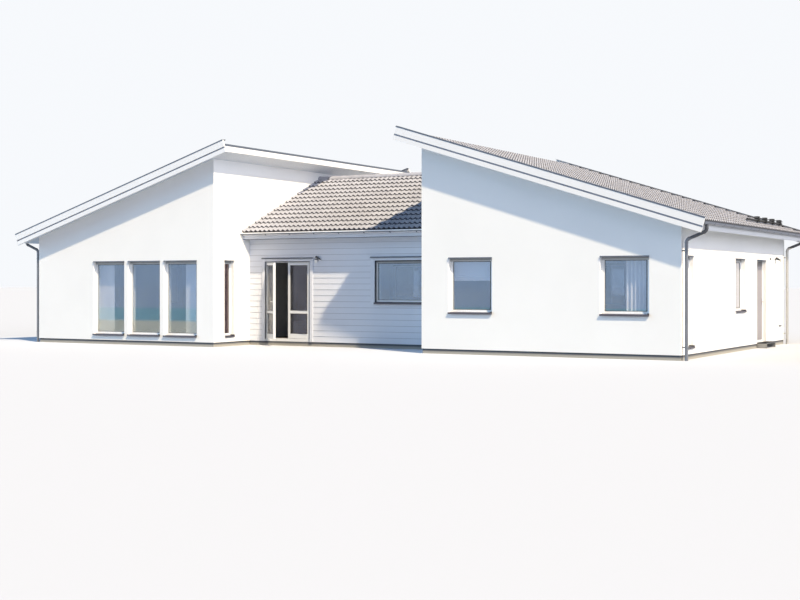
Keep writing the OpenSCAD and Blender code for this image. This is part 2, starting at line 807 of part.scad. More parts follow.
// Drip flashings over the heads of the openings
module head_flashings() {
    color("dimgray") {
        for (v = render_windows) at_opening(v) translate([0, 0, v[5]])
            head_flashing(v[4], head_over);
        for (v = clad_windows) at_opening(v) translate([0, -casing_t, v[5] + casing_head])
            head_flashing(v[4], casing_w + casing_over);
        translate([x_patio, y_mid_front - casing_t, head_h + casing_head])
            head_flashing(patio_w, door_casing_w + casing_over);
        translate([x_right, y_entry, head_h]) rotate([0, 0, 90])
            head_flashing(entry_w, head_over);
    }
}

// Folded flashing over an opening of width w, with a sloped drip edge
module head_flashing(w, over) {
    run_x(-over, w + over) polygon([
        [0, head_rise], [-sheet_t, head_rise], [-sheet_t, sheet_t], [-head_reach, -sheet_t],
        [-head_reach, -2 * sheet_t], [0, 0]
    ]);
}

// Frame of a doorway on the foundation, seen from outside, with its left corner at the origin
module door_frame(w) {
    h = head_h - plinth_h;
    bottom = floor_t + threshold_h;
    difference() {
        cube([w, door_frame_d, h]);
        translate([jamb_w, -eps, bottom])
            cube([w - 2 * jamb_w, door_frame_d + 2 * eps, h - jamb_w - bottom]);
    }
}

// Places the children at a leaf's hinge pins: the origin is a leaf's lower hinge corner
module at_hinges() {
    for (z = hinge_heights) translate([-leaf_gap / 2, -knuckle_r, z]) children();
}

// Fixed half of a hinge with its pin: two knuckles and a flap on the frame's face
module fixed_hinge() {
    for (z = [0, 2 * knuckle_h + hinge_gap]) translate([0, 0, z]) {
        cylinder(r = knuckle_r, h = knuckle_h - hinge_gap, $fn = 32);
        translate([-leaf_gap / 2 - flap_w, knuckle_r - sheet_t, 0])
            cube([flap_w, sheet_t, knuckle_h - hinge_gap]);
    }
    cylinder(r = pin_r, h = 3 * knuckle_h, $fn = 32);
}

// Moving half of a hinge: one knuckle with its bore and a flap on the leaf's face
module moving_hinge() {
    difference() {
        union() {
            cylinder(r = knuckle_r, h = knuckle_h, $fn = 32);
            translate([leaf_gap / 2, knuckle_r - sheet_t, 0]) cube([flap_w, sheet_t, knuckle_h]);
        }
        translate([0, 0, -eps]) cylinder(r = pin_r + hinge_gap, h = knuckle_h + 2 * eps, $fn = 32);
    }
}

module moving_hinges() {
    at_hinges() translate([0, 0, knuckle_h]) moving_hinge();
}

// Places the children at the hinge corner of a closed leaf, which runs along +X
module at_patio_corner(side) {
    if (side == LEFT) translate([x_patio + jamb_w + leaf_gap, y_patio, leaf_z]) children();
    else
        translate([x_patio + patio_w - jamb_w - leaf_gap, y_patio, leaf_z]) mirror([1, 0, 0]) children();
}

module at_patio_leaf(side) {
    turn = side == LEFT ? patio_open : 0;
    at_patio_corner(side) translate([-leaf_gap / 2, -knuckle_r, 0]) rotate([0, 0, -turn])
        translate([leaf_gap / 2, knuckle_r, 0]) children();
}

module at_entry_corner() {
    translate([x_entry, y_entry + jamb_w + leaf_gap, leaf_z]) rotate([0, 0, 90]) children();
}

module patio_door_frame() {
    color("white") {
        translate([x_patio, y_patio, plinth_h]) door_frame(patio_w);
        for (side = [LEFT, RIGHT]) at_patio_corner(side) at_hinges() fixed_hinge();
    }
}

// Stiles and rails of a glazed terrace door leaf
module patio_leaf(side) {
    inner_w = patio_leaf_w - 2 * stile_w;
    upper_z = mid_rail_h + mid_rail_w;
    color("white") at_patio_leaf(side) {
        difference() {
            cube([patio_leaf_w, leaf_t, leaf_h]);
            translate([stile_w, -eps, bottom_rail_h])
                cube([inner_w, leaf_t + 2 * eps, mid_rail_h - bottom_rail_h]);
            translate([stile_w, -eps, upper_z])
                cube([inner_w, leaf_t + 2 * eps, leaf_h - stile_w - upper_z]);
        }
        moving_hinges();
        if (side == LEFT) lever_handle(patio_leaf_w - stile_w / 2);
    }
}

// Lever handle on the outer face of a leaf, at a distance from its hinge
module lever_handle(x) {
    out = handle_plate_t + stem_l;
    translate([x, 0, handle_h]) {
        translate([-handle_w / 2, -handle_plate_t, -handle_plate_h / 2])
            cube([handle_w, handle_plate_t, handle_plate_h]);
        translate([0, -out, 0]) rotate([-90, 0, 0]) cylinder(r = lever_h / 2, h = stem_l, $fn = 24);
        translate([lever_h / 2 - lever_l, -out, -lever_h / 2]) cube([lever_l, lever_t, lever_h]);
    }
}

module patio_glass(side) {
    inner_w = patio_leaf_w - 2 * stile_w;
    upper_z = mid_rail_h + mid_rail_w;
    color("lightblue") at_patio_leaf(side) translate([stile_w, (leaf_t - glass_t) / 2, 0]) {
        translate([0, 0, bottom_rail_h]) cube([inner_w, glass_t, mid_rail_h - bottom_rail_h]);
        translate([0, 0, upper_z]) cube([inner_w, glass_t, leaf_h - stile_w - upper_z]);
    }
}

module entry_door_frame() {
    color("white") {
        translate([x_entry, y_entry, plinth_h]) rotate([0, 0, 90]) door_frame(entry_w);
        at_entry_corner() at_hinges() fixed_hinge();
    }
}

// Entrance door leaf, hinged at its front edge
module entry_door_leaf() {
    color("rosybrown") at_entry_corner() {
        cube([entry_leaf_w, leaf_t, leaf_h]);
        moving_hinges();
        lever_handle(entry_leaf_w - stile_w / 2);
    }
}

// Metal step in front of the entrance, on two side plates
module entry_step() {
    under = plinth_h + step_rise - step_t;
    color("gray") translate([x_right, y_entry, 0]) {
        translate([0, 0, under]) cube([step_d, entry_w, step_t]);
        for (y = [0, entry_w - step_side_t]) translate([0, y, 0]) cube([step_d, step_side_t, under]);
    }
}

// Outdoor lamps beside the terrace door and beside the entrance, with a sensor between
module wall_lamps() {
    color("gray") {
        translate([x_patio + patio_w + door_casing_w + lamp_gap, y_mid_front, lamp_z]) wall_lamp(0);
        translate([x_right, y_entry + entry_w, lamp_z]) rotate([0, 0, 90]) {
            translate([entry_lamp_gap, 0, 0]) wall_lamp(-90);
            translate([sensor_gap, 0, lamp_plate_h / 2]) rotate([90, 0, 0])
                cylinder(r = lamp_r, h = lamp_plate_t, $fn = 32);
        }
    }
}

// Lamp on a short post above its plate, with a slanted head turned by an angle: 0 shines aside
// and -90 away from the wall
module wall_lamp(turn) {
    post_r = lamp_plate_t / 3;
    aside = lamp_w / 2 - post_r;
    start = turn == 0 ? -lamp_r : lamp_r / 2;
    translate([-lamp_w / 2, -lamp_plate_t, -lamp_plate_h / 2])
        cube([lamp_w, lamp_plate_t, lamp_plate_h]);
    translate([aside, -lamp_plate_t / 2, 0]) {
        cylinder(r = post_r, h = lamp_rise - lamp_r / 2, $fn = 24);
        rotate([0, 0, turn]) translate([0, post_r - lamp_r, lamp_rise])
            rotate([0, 180 - lamp_tilt, 0]) translate([0, 0, start])
                cylinder(r = lamp_r, h = lamp_l, $fn = 32);
    }
}

foundation();
floor_plate();  // floor
gable_wall(LEFT, y_front, left_front_windows);  // left_front_wall
outer_wall(LEFT, y_front + wall_t, y_rear - wall_t, plinth_h, left_side_windows);  // left_outer_wall
gable_wall(LEFT, y_rear - wall_t, left_rear_windows);  // left_rear_wall
inner_wall(LEFT, y_front + wall_t, y_passage, plinth_h, left_slit);  // left_inner_wall_front
inner_wall(LEFT, y_passage + passage_w, y_rear - wall_t, plinth_h, []);  // left_inner_wall_rear
inner_wall(LEFT, y_passage, y_passage + passage_w, passage_top, []);  // left_inner_wall_head
gable_wall(RIGHT, y_front, right_front_windows);  // right_front_wall
gable_wall(RIGHT, y_rear - wall_t, right_rear_windows);  // right_rear_wall
inner_wall(RIGHT, y_front + wall_t, y_passage, plinth_h, []);  // right_inner_wall_front
inner_wall(RIGHT, y_passage + passage_w, y_rear - wall_t, plinth_h, []);  // right_inner_wall_rear
inner_wall(RIGHT, y_passage, y_passage + passage_w, passage_top, []);  // right_inner_wall_head
outer_wall(RIGHT, y_front + wall_t, y_entry, plinth_h, right_side_windows);  // right_outer_wall_front
outer_wall(RIGHT, y_entry + entry_w, y_rear - wall_t, plinth_h, []);  // right_outer_wall_rear
outer_wall(RIGHT, y_entry, y_entry + entry_w, head_h, []);  // right_outer_wall_head
front_wall_piece(x_left_in, x_patio, plinth_h, []);  // middle_front_wall_left
front_wall_piece(x_patio + patio_w, x_right_in, plinth_h, kitchen_window);  // middle_front_wall_right
front_wall_piece(x_patio, x_patio + patio_w, head_h, []);  // middle_front_wall_head
middle_rear_wall();
middle_cladding();
middle_casings();
wing_roof(LEFT);  // left_roof
wing_tiles(LEFT);  // left_tiles
wing_roof_boards(LEFT);  // left_roof_boards
wing_flashings(LEFT);  // left_flashings
wing_roof(RIGHT);  // right_roof
wing_tiles(RIGHT);  // right_tiles
wing_roof_boards(RIGHT);  // right_roof_boards
wing_flashings(RIGHT);  // right_flashings
middle_roof();
middle_tiles();
middle_fascias();
ridge_tiles();
gutters();
downpipes();
snow_guard();
window_frames();
window_glass();
window_sills();
head_flashings();
patio_door_frame();
patio_leaf(LEFT);  // patio_left_leaf
patio_glass(LEFT);  // patio_left_glass
patio_leaf(RIGHT);  // patio_right_leaf
patio_glass(RIGHT);  // patio_right_glass
entry_door_frame();
entry_door_leaf();
entry_step();
wall_lamps();
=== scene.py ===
import logging
import math
from collections.abc import Callable
from dataclasses import dataclass, field
from enum import Enum
from functools import cache
from typing import Any

import bmesh
import bpy
import numpy as np
from bmesh.types import BMEdge, BMesh, BMFace, BMVert
from bpy.types import Material, Mesh, Node, NodeSocket, NodeTree, Object
from mathutils import Matrix, Vector


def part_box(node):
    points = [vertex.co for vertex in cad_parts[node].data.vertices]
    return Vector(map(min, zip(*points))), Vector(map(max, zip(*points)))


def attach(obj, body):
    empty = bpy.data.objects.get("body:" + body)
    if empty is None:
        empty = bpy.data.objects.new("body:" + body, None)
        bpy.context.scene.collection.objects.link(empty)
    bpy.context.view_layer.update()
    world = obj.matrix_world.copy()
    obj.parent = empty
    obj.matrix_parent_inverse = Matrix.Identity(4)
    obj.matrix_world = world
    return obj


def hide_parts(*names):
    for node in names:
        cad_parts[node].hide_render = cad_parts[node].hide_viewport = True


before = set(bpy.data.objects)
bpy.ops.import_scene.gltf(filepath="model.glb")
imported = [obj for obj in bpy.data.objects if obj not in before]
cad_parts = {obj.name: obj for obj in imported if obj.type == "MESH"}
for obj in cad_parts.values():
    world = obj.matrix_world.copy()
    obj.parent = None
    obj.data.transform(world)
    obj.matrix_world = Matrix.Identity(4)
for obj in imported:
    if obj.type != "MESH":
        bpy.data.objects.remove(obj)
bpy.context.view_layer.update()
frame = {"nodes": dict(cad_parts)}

LOG = logging.getLogger("beach_house")

OWN_FINISH = {
    "gutters": "gutter_sheet",
    "entry_step": "step_steel",
    "patio_left_glass": "door_glass", "patio_right_glass": "door_glass",
    "left_roof_boards": "verge_boards", "right_roof_boards": "verge_boards",
}

Vec = tuple[float, float, float]
Colour = tuple[float, float, float]
Range = tuple[float, float]
Box = tuple[Vector, Vector]

MEETING = 1e-5
FAR = 99.0
EVERYWHERE = (-FAR, FAR)


def tone(red: int, green: int, blue: int) -> Colour:
    """Turns a colour of screen values from 0 to 255 into linear light."""
    scaled = (value / 255 for value in (red, green, blue))
    return tuple(v / 12.92 if v <= 0.04045 else ((v + 0.055) / 1.055) ** 2.4 for v in scaled)


class Body(Enum):
    """What a piece moves with."""

    HOUSE = "house"
    LEFT_LEAF = "patio_left"
    RIGHT_LEAF = "patio_right"
    ENTRY_LEAF = "entry_door"


def operator(operation: str, swapped: bool = False) -> Callable[..., "Value"]:
    """Makes an operator of Value from a Math node's operation.

    Args:
        operation: The node's operation.
        swapped: Whether the other number comes first.

    Returns:
        The operator.
    """
    def method(value: "Value", other: Any = 0.0) -> "Value":
        """Adds the Math node.

        Args:
            value: The value that the operator belongs to.
            other: The other number or value.

        Returns:
            The result.
        """
        first, second = (other, value) if swapped else (value, other)
        made = value.tree.node("ShaderNodeMath", {"operation": operation}, {0: first, 1: second})
        return Value(value.tree, made.outputs[0])

    return method


class Value:
    """A shader socket that carries a number, with the usual operators."""

    __add__ = __radd__ = operator("ADD")
    __sub__ = operator("SUBTRACT")
    __rsub__ = operator("SUBTRACT", swapped=True)
    __mul__ = __rmul__ = operator("MULTIPLY")
    __truediv__ = operator("DIVIDE")
    __rtruediv__ = operator("DIVIDE", swapped=True)
    __gt__ = operator("GREATER_THAN")
    __lt__ = operator("LESS_THAN")
    either = operator("MAXIMUM")
    fraction = operator("FRACT")
    size = operator("ABSOLUTE")
    wave = operator("SINE")

    def __init__(self, tree: "Tree", socket: NodeSocket) -> None:
        """Keeps the socket and the tree that it belongs to."""
        self.tree, self.socket = tree, socket


class Tree:
    """A node tree that is filled node by node."""

    def __init__(self, tree: NodeTree) -> None:
        """Empties the tree."""
        self.tree = tree
        tree.nodes.clear()

    def node(self, kind: str, settings: dict[str, Any] | None = None,
             inputs: dict[Any, Any] | None = None) -> Node:
        """Adds a node.

        Args:
            kind: The node's type.
            settings: Its settings, which are set first.
            inputs: Values or links, by a socket's number, name or identifier.

        Returns:
            The node.
        """
        made = self.tree.nodes.new(kind)
        for key, value in (settings or {}).items():
            setattr(made, key, value)
        for key, value in (inputs or {}).items():
            self.feed(made, key, value)
        return made

    def feed(self, node: Node, key: Any, value: Any) -> None:
        """Sets or links one input.

        Args:
            node: The node.
            key: The socket's number, name or identifier.
            value: A number, colour, vector, Value or socket.
        """
        if isinstance(key, int):
            socket = node.inputs[key]
        else:
            socket = next(s for s in node.inputs if key in (s.identifier, s.name))
        if isinstance(value, Value):
            value = value.socket
        if isinstance(value, NodeSocket):
            self.tree.links.new(value, socket)
        elif socket.type == "RGBA":
            socket.default_value = (*value[:3], 1.0)
        else:
            socket.default_value = value

    def part(self, output: Node, lighting: Node, seen: Node) -> None:
        """Parts what lights the scene from what the camera, mirrors and panes show.

        Args:
            output: The tree's output.
            lighting: The shader that lights the scene.
            seen: The shader that is seen.
        """
        rays = self.node("ShaderNodeLightPath")
        camera, glossy, passed = (
            Value(self, rays.outputs[f"Is {ray} Ray"]) for ray in ("Camera", "Glossy", "Transmission")
        )
        shown = camera.either(glossy).either(passed)
        mixed = self.node("ShaderNodeMixShader", None, {0: shown, 1: lighting.outputs[0], 2: seen.outputs[0]})
        self.feed(output, "Surface", mixed.outputs[0])


class Shader(Tree):
    """One material's node tree, with a Principled shader at its end."""

    def __init__(self, name: str) -> None:
        """Starts a material.

        Args:
            name: The material's name.
        """
        self.material = bpy.data.materials.new(name)
        self.material.use_nodes = True
        super().__init__(self.material.node_tree)
        self.surface = self.node("ShaderNodeBsdfPrincipled")
        self.output = self.node("ShaderNodeOutputMaterial", None, {"Surface": self.surface.outputs[0]})

    def place(self, scale: Vec = (1.0, 1.0, 1.0)) -> NodeSocket:
        """Gives the object's own coordinates in metres, scaled along each axis.

        Args:
            scale: The scale along each axis.

        Returns:
            The vector socket.
        """
        source = self.node("ShaderNodeTexCoord")
        inputs = {"Vector": source.outputs["Object"], "Scale": scale}
        return self.node("ShaderNodeMapping", {"vector_type": "POINT"}, inputs).outputs[0]

    def axis(self, name: str) -> Value:
        """Gives one of the object's coordinates, X, Y or Z, in metres."""
        return Value(self, self.node("ShaderNodeSeparateXYZ", None, {0: self.place()}).outputs[name])

    def between(self, name: str, low: float, high: float) -> Value:
        """Is 1 where one of the object's coordinates lies between two bounds."""
        place = self.axis(name)
        return (place > low) * (place < high)

    def mark(self, name: str) -> Value:
        """Gives a number that the piece's mesh holds for each face."""
        return Value(self, self.node("ShaderNodeAttribute", {"attribute_name": name}).outputs["Fac"])

    def noise(self, scale: float, detail: float = 3.0, vector: Any = None, rough: float = 0.5) -> Value:
        """Adds a noise.

        Args:
            scale: Patches per metre.
            detail: How many finer layers it has.
            vector: Its coordinates, or None for the object's own.
            rough: How strong the finer layers are.

        Returns:
            A value around 0.5.
        """
        inputs = {"Vector": vector or self.place(), "Scale": scale, "Detail": detail, "Roughness": rough}
        return Value(self, self.node("ShaderNodeTexNoise", None, inputs).outputs["Fac"])

    def spread(self, value: Value, low: float = 0.3, high: float = 0.7) -> Value:
        """Stretches a value so that low becomes 0 and high becomes 1, and holds it there."""
        inputs = {"Value": value, "From Min": low, "From Max": high}
        return Value(self, self.node("ShaderNodeMapRange", {"clamp": True}, inputs).outputs[0])

    def mix(self, factor: Any, first: Any, second: Any, blend: str = "MIX") -> NodeSocket:
        """Mixes two colours.

        Args:
            factor: How much of the second.
            first: The first colour.
            second: The second colour.
            blend: The kind of mix.

        Returns:
            The colour socket.
        """
        inputs = {"Factor_Float": factor, "A_Color": first, "B_Color": second}
        made = self.node("ShaderNodeMix", {"data_type": "RGBA", "blend_type": blend}, inputs)
        return next(s for s in made.outputs if s.identifier == "Result_Color")

    def relief(self, height: Value, depth: float, strength: float) -> None:
        """Leads a height, from 0 to 1 over a depth in metres, into the surface's normal."""
        bump = self.node("ShaderNodeBump", None, {"Height": height, "Distance": depth, "Strength": strength})
        self.feed(self.surface, "Normal", bump.outputs[0])

    def coat(self, **sockets: Any) -> Material:
        """Sets the surface's sockets.

        Args:
            sockets: Names with underscores for spaces, and their values.

        Returns:
            The material.
        """
        for key, value in sockets.items():
            self.feed(self.surface, key.replace("_", " "), value)
        return self.material


@dataclass(frozen=True)
class Finish:
    """What all finishes have: the material's name and the main colour."""

    name: str
    colour: Colour

    def shade(self, factor: float) -> Colour:
        """Gives the main colour in a darker shade."""
        return tuple(c * factor for c in self.colour)

    def mottle(self, shader: Shader, pattern: Value, darker: float, low: float = 0.3,
               high: float = 0.7) -> NodeSocket:
        """Lets a pattern run between a darker shade and the main colour."""
        return shader.mix(shader.spread(pattern, low, high), self.shade(darker), self.colour)


@dataclass(frozen=True)
class Plaster(Finish):
    """Mineral render or painted plaster: a fine float texture and very faint patches."""

    grain: float = 0.0006
    patches: float = 0.97

    def material(self) -> Material:
        """Builds the material.

        Returns:
            The material.
        """
        shader = Shader(self.name)
        grain = shader.noise(260.0)
        base = self.mottle(shader, shader.noise(0.7, 4.0), self.patches, 0.35, 0.65)
        base = shader.mix(shader.spread(grain, 0.52, 0.75) * 0.5, base, self.shade(0.97))
        shader.relief(grain * 0.7 + shader.noise(5.0) * 0.3, self.grain * 2, 0.5)
        return shader.coat(Base_Color=base, Roughness=0.92 - 0.08 * grain, Specular_IOR_Level=0.25)


@dataclass(frozen=True)
class PaintedTimber(Finish):
    """Painted boards: grain along each board under the paint, a slight tone a board, and a painted shade line
    under each lap.
    """

    cover: float = 0.160
    foot: float = 0.120
    along: Vec = (1.0, 14.0, 14.0)
    gloss: float = 0.45

    def material(self) -> Material:
        """Builds the material.

        Returns:
            The material.
        """
        shader = Shader(self.name)
        grain = shader.noise(9.0, 5.0, shader.place(self.along), 0.6)
        patch = shader.spread(shader.noise(1.3))
        shade = shader.spread(grain) * 0.35 + patch * 0.35 + shader.mark("board_tone") * 0.3
        base = shader.mix(shade, self.shade(0.93), self.colour)
        # Painted shade: the top of each marked board, under the next board's foot, is darkened.
        row = ((shader.axis("Z") - self.foot) / self.cover).fraction()
        base = shader.mix((row > 0.93) * shader.mark("painted_lap_shade") * 0.5, base, self.shade(0.25))
        shader.relief(grain, 0.0008, 0.6)
        return shader.coat(Base_Color=base, Roughness=self.gloss + 0.12 * grain)


@dataclass(frozen=True)
class Soffit(Finish):
    """Painted soffit boards with a groove between them, running the length of the eave."""

    pitch: float = 0.12

    def material(self) -> Material:
        """Builds the material.

        Returns:
            The material.
        """
        shader = Shader(self.name)
        groove = (shader.axis("Y") / self.pitch).fraction() < 0.06
        grain = shader.noise(8.0, 4.0, shader.place((1.0, 12.0, 1.0)), 0.6)
        base = shader.mix(groove * 0.45, self.mottle(shader, grain, 0.94), self.shade(0.4))
        shader.relief(grain * 0.1 - groove, 0.004, 0.8)
        return shader.coat(Base_Color=base, Roughness=0.5 + 0.1 * grain)


@dataclass(frozen=True)
class ConcreteTile(Finish):
    """Concrete roof tile: sanded face, a tone a tile, paler worn patches, and painted shade with grime on the
    noses and just under them.
    """

    worn: Colour
    dark: Colour

    def material(self) -> Material:
        """Builds the material.

        Returns:
            The material.
        """
        shader = Shader(self.name)
        sand = shader.noise(180.0, 4.0)
        patch = shader.noise(2.2, 5.0, None, 0.6)
        single = shader.mark("tile_tone")
        base = shader.mix(shader.spread(patch, 0.35, 0.68) * 0.5 + single * 0.5, self.dark, self.worn)
        base = shader.mix(0.5, base, self.colour)
        base = shader.mix(shader.spread(sand, 0.55, 0.7) * 0.35, base, tuple(c * 0.72 for c in self.dark))
        # Painted shade with grime: the marked noses and the band under each nose are darkened.
        base = shader.mix(shader.mark("tile_nose_dirt_and_shade") * 0.9, base, tuple(c * 0.18 for c in self.dark))
        shader.relief(sand, 0.0012, 0.7)
        return shader.coat(Base_Color=base, Roughness=0.82 + 0.1 * sand, Specular_IOR_Level=0.3)


@dataclass(frozen=True)
class Zone:
    """A box of the house's space in which a finish takes another colour; some boxes hold painted light and
    shade.
    """

    x: Range = EVERYWHERE
    y: Range = EVERYWHERE
    z: Range = EVERYWHERE

    def mask(self, shader: Shader) -> Value:
        """Is 1 inside the zone."""
        ranges = {"X": self.x, "Y": self.y, "Z": self.z}
        return math.prod(shader.between(axis, *ends) for axis, ends in ranges.items() if ends != EVERYWHERE)


MIDDLE_GUTTERS = Zone(x=(-3.3, 3.3), z=(2.9, 3.13))
# The rear downpipe is paler: painted sunlight.
REAR_PIPE_PAINTED_LIGHT = Zone(x=(9.0, FAR), y=(4.4, FAR))
PIPE_NECKS = Zone(z=(2.74, FAR))
LAMP_PLATES = Zone(z=(1.0, 2.374))
STEP_TOP = Zone(z=(0.125, FAR))
# The wide window's frame: painted shade on its top rail and left stile.
WIDE_WINDOW_SHADE = Zone((0.78, 2.58), (-FAR, -3.0), (1.2, FAR))


@dataclass(frozen=True)
class SheetMetal(Finish):
    """Coated sheet or steel: fine orange peel, faint streaks and a soft gloss."""

    metallic: float = 0.15
    roughness: float = 0.42
    streak: Vec = (1.0, 1.0, 6.0)
    zones: dict[Zone, Colour] = field(default_factory=dict)

    def material(self) -> Material:
        """Builds the material.

        Returns:
            The material.
        """
        shader = Shader(self.name)
        streaks = shader.noise(3.0, 4.0, shader.place(self.streak), 0.6)
        paler = tuple(min(1.0, c * 1.12 + 0.004) for c in self.colour)
        base = shader.mix(shader.spread(streaks), self.shade(0.9), paler)
        for zone, colour in self.zones.items():
            base = shader.mix(zone.mask(shader), base, colour)
        shader.relief(shader.noise(420.0, 2.0) * 0.6 + streaks * 0.4, 0.0006, 0.35)
        rough = self.roughness + 0.16 * streaks
        return shader.coat(Base_Color=base, Roughness=rough, Metallic=self.metallic)


@dataclass(frozen=True)
class Lacquer(Finish):
    """Lacquered frame or leaf: even colour, soft gloss, dust at the foot, and painted shade under the head
    and over the wide window's frame.
    """

    roughness: float = 0.3
    shaded: float = 0.32
    under_z: float = 2.263
    head: float = 0.039
    outside: Range = (9.4, 3.9)
    rail_z: float = 2.263
    stile_x: float = 0.848

    def material(self) -> Material:
        """Builds the material.

        Returns:
            The material.
        """
        shader = Shader(self.name)
        x, y, z = (shader.axis(name) for name in "XYZ")
        fibre = shader.noise(14.0, 4.0, shader.place((6.0, 6.0, 1.0)), 0.6)
        dust = 1.0 - shader.spread(z, 0.18, 0.5)
        base = shader.mix(dust * 0.12, self.mottle(shader, fibre, 0.95), self.shade(0.8))
        # Painted shade under the heads of the frames in the outer walls and at the entry door's top.
        outside = (y.size() > self.outside[1]).either(x.size() > self.outside[0])
        under = (z > self.under_z) * 0.55 + (z > self.under_z + self.head) * 0.45
        base = shader.mix(outside * under, base, self.shade(self.shaded))
        # Painted shade on the wide window's top rail and left stile.
        outer = (z > self.rail_z) + (z < self.rail_z) * (x < self.stile_x)
        base = shader.mix(WIDE_WINDOW_SHADE.mask(shader) * outer * 0.9, base, self.shade(self.shaded))
        shader.relief(fibre, 0.0004, 0.4)
        return shader.coat(Base_Color=base, Roughness=self.roughness + 0.1 * fibre)


@dataclass(frozen=True)
class Glazing(Finish):
    """Sealed glazing unit whose colour is a painted reflection of the sky, which is its main colour, the haze
    and the ground.
    """

    haze: Colour
    ground: Colour
    aside: Colour
    slit: Colour
    opacity: float = 0.28
    ground_z: Range = (0.66, 0.74)
    haze_z: Range = (1.03, 1.07)
    aside_x: float = 9.3
    slit_x: Range = (-3.51, -3.27)
    rear_y: float = 3.9

    def material(self) -> Material:
        """Builds the material.

        Returns:
            The material.
        """
        shader = Shader(self.name)
        waver = shader.noise(1.6, 2.0)
        across = shader.axis("X")
        level = shader.axis("Z") - 0.1 * (across > 0.0) + waver * 0.02
        low = 1.0 - shader.spread(level, *self.ground_z)
        aside, slit = across.size() > self.aside_x, shader.between("X", *self.slit_x)
        rear = shader.axis("Y") > self.rear_y
        # Painted reflection: sky above, a band of haze, the ground low down, and own tints for the side, slit
        # and rear panes.
        base = shader.mix(shader.spread(level, *self.haze_z), self.haze, self.colour)
        for mask, colour in ((low, self.ground), (aside, self.aside), (slit, self.slit)):
            base = shader.mix(mask, base, colour)
        base = shader.mix(rear, base, shader.mix(1.0, base, (0.42, 0.42, 0.42), "MULTIPLY"))
        base = shader.mix(shader.spread(waver) * 0.3, base, (1.0, 1.0, 1.0), "SOFT_LIGHT")
        shader.relief(waver, 0.0006, 0.2)
        front = low * (self.opacity + 0.12) + (1.0 - low) * self.opacity
        alpha = (aside * 0.85).either(slit * 0.8).either(rear * 0.92).either(front)
        return shader.coat(Base_Color=base, Roughness=0.03 + 0.03 * waver, Metallic=1.0, Alpha=alpha)


@dataclass(frozen=True)
class Concrete(Finish):
    """Cast and painted concrete with small pores and sand thrown up against its foot."""

    sand: Colour
    sand_z: Range = (0.045, 0.100)

    def material(self) -> Material:
        """Builds the material.

        Returns:
            The material.
        """
        shader = Shader(self.name)
        cloud = shader.noise(2.5, 5.0, None, 0.65)
        pore = shader.spread(shader.noise(95.0, 2.0), 0.62, 0.72)
        base = shader.mix(pore * 0.5, self.mottle(shader, cloud, 0.75), self.shade(0.4))
        sand = 1.0 - shader.spread(shader.axis("Z") + cloud * 0.02, *self.sand_z)
        base = shader.mix(sand * 0.75, base, self.sand)
        shader.relief(cloud * 0.5 - pore * 0.5, 0.002, 0.6)
        return shader.coat(Base_Color=base, Roughness=0.78 + 0.12 * cloud)


@dataclass(frozen=True)
class FloorTile(Finish):
    """Matt floor tiles with grout joints."""

    pitch: float = 0.4
    joint: float = 0.012

    def material(self) -> Material:
        """Builds the material.

        Returns:
            The material.
        """
        shader = Shader(self.name)
        across, along = ((shader.axis(name) / self.pitch).fraction() < self.joint for name in "XY")
        grout = across.either(along)
        cloud = shader.noise(4.0, 5.0, None, 0.6)
        base = shader.mix(grout * 0.7, self.mottle(shader, cloud, 0.82), self.shade(0.45))
        shader.relief(cloud * 0.2 - grout, 0.002, 0.6)
        return shader.coat(Base_Color=base, Roughness=0.55 + 0.15 * cloud)


@dataclass(frozen=True)
class Cloth(Finish):
    """Woven curtain or blind cloth, with its weave on the piece's own flat coordinates."""

    thread: float = 0.004

    def material(self) -> Material:
        """Builds the material.

        Returns:
            The material.
        """
        shader = Shader(self.name)
        flat = shader.node("ShaderNodeUVMap", {"uv_map": "flat"}).outputs[0]
        split = shader.node("ShaderNodeSeparateXYZ", None, {0: flat})
        warp, weft = ((Value(shader, split.outputs[axis]) * (math.tau / self.thread)).wave() for axis in "XY")
        weave = warp * weft * 0.5 + 0.5
        slub = shader.noise(30.0, 3.0, flat)
        base = shader.mix(weave * 0.4 + slub * 0.3, self.shade(0.93), self.colour)
        shader.relief(weave, 0.0006, 0.6)
        return shader.coat(Base_Color=base, Roughness=0.85 + 0.1 * slub, Sheen_Weight=0.15)


@dataclass(frozen=True)
class Rubber(Finish):
    """Black sealing rubber with a dusty bloom."""

    def material(self) -> Material:
        """Builds the material.

        Returns:
            The material.
        """
        shader = Shader(self.name)
        bloom = shader.noise(40.0, 4.0)
        paler = tuple(c * 1.8 + 0.01 for c in self.colour)
        base = shader.mix(shader.spread(bloom, 0.4, 0.7) * 0.5, self.colour, paler)
        shader.relief(bloom, 0.0004, 0.4)
        return shader.coat(Base_Color=base, Roughness=0.6 + 0.15 * bloom)


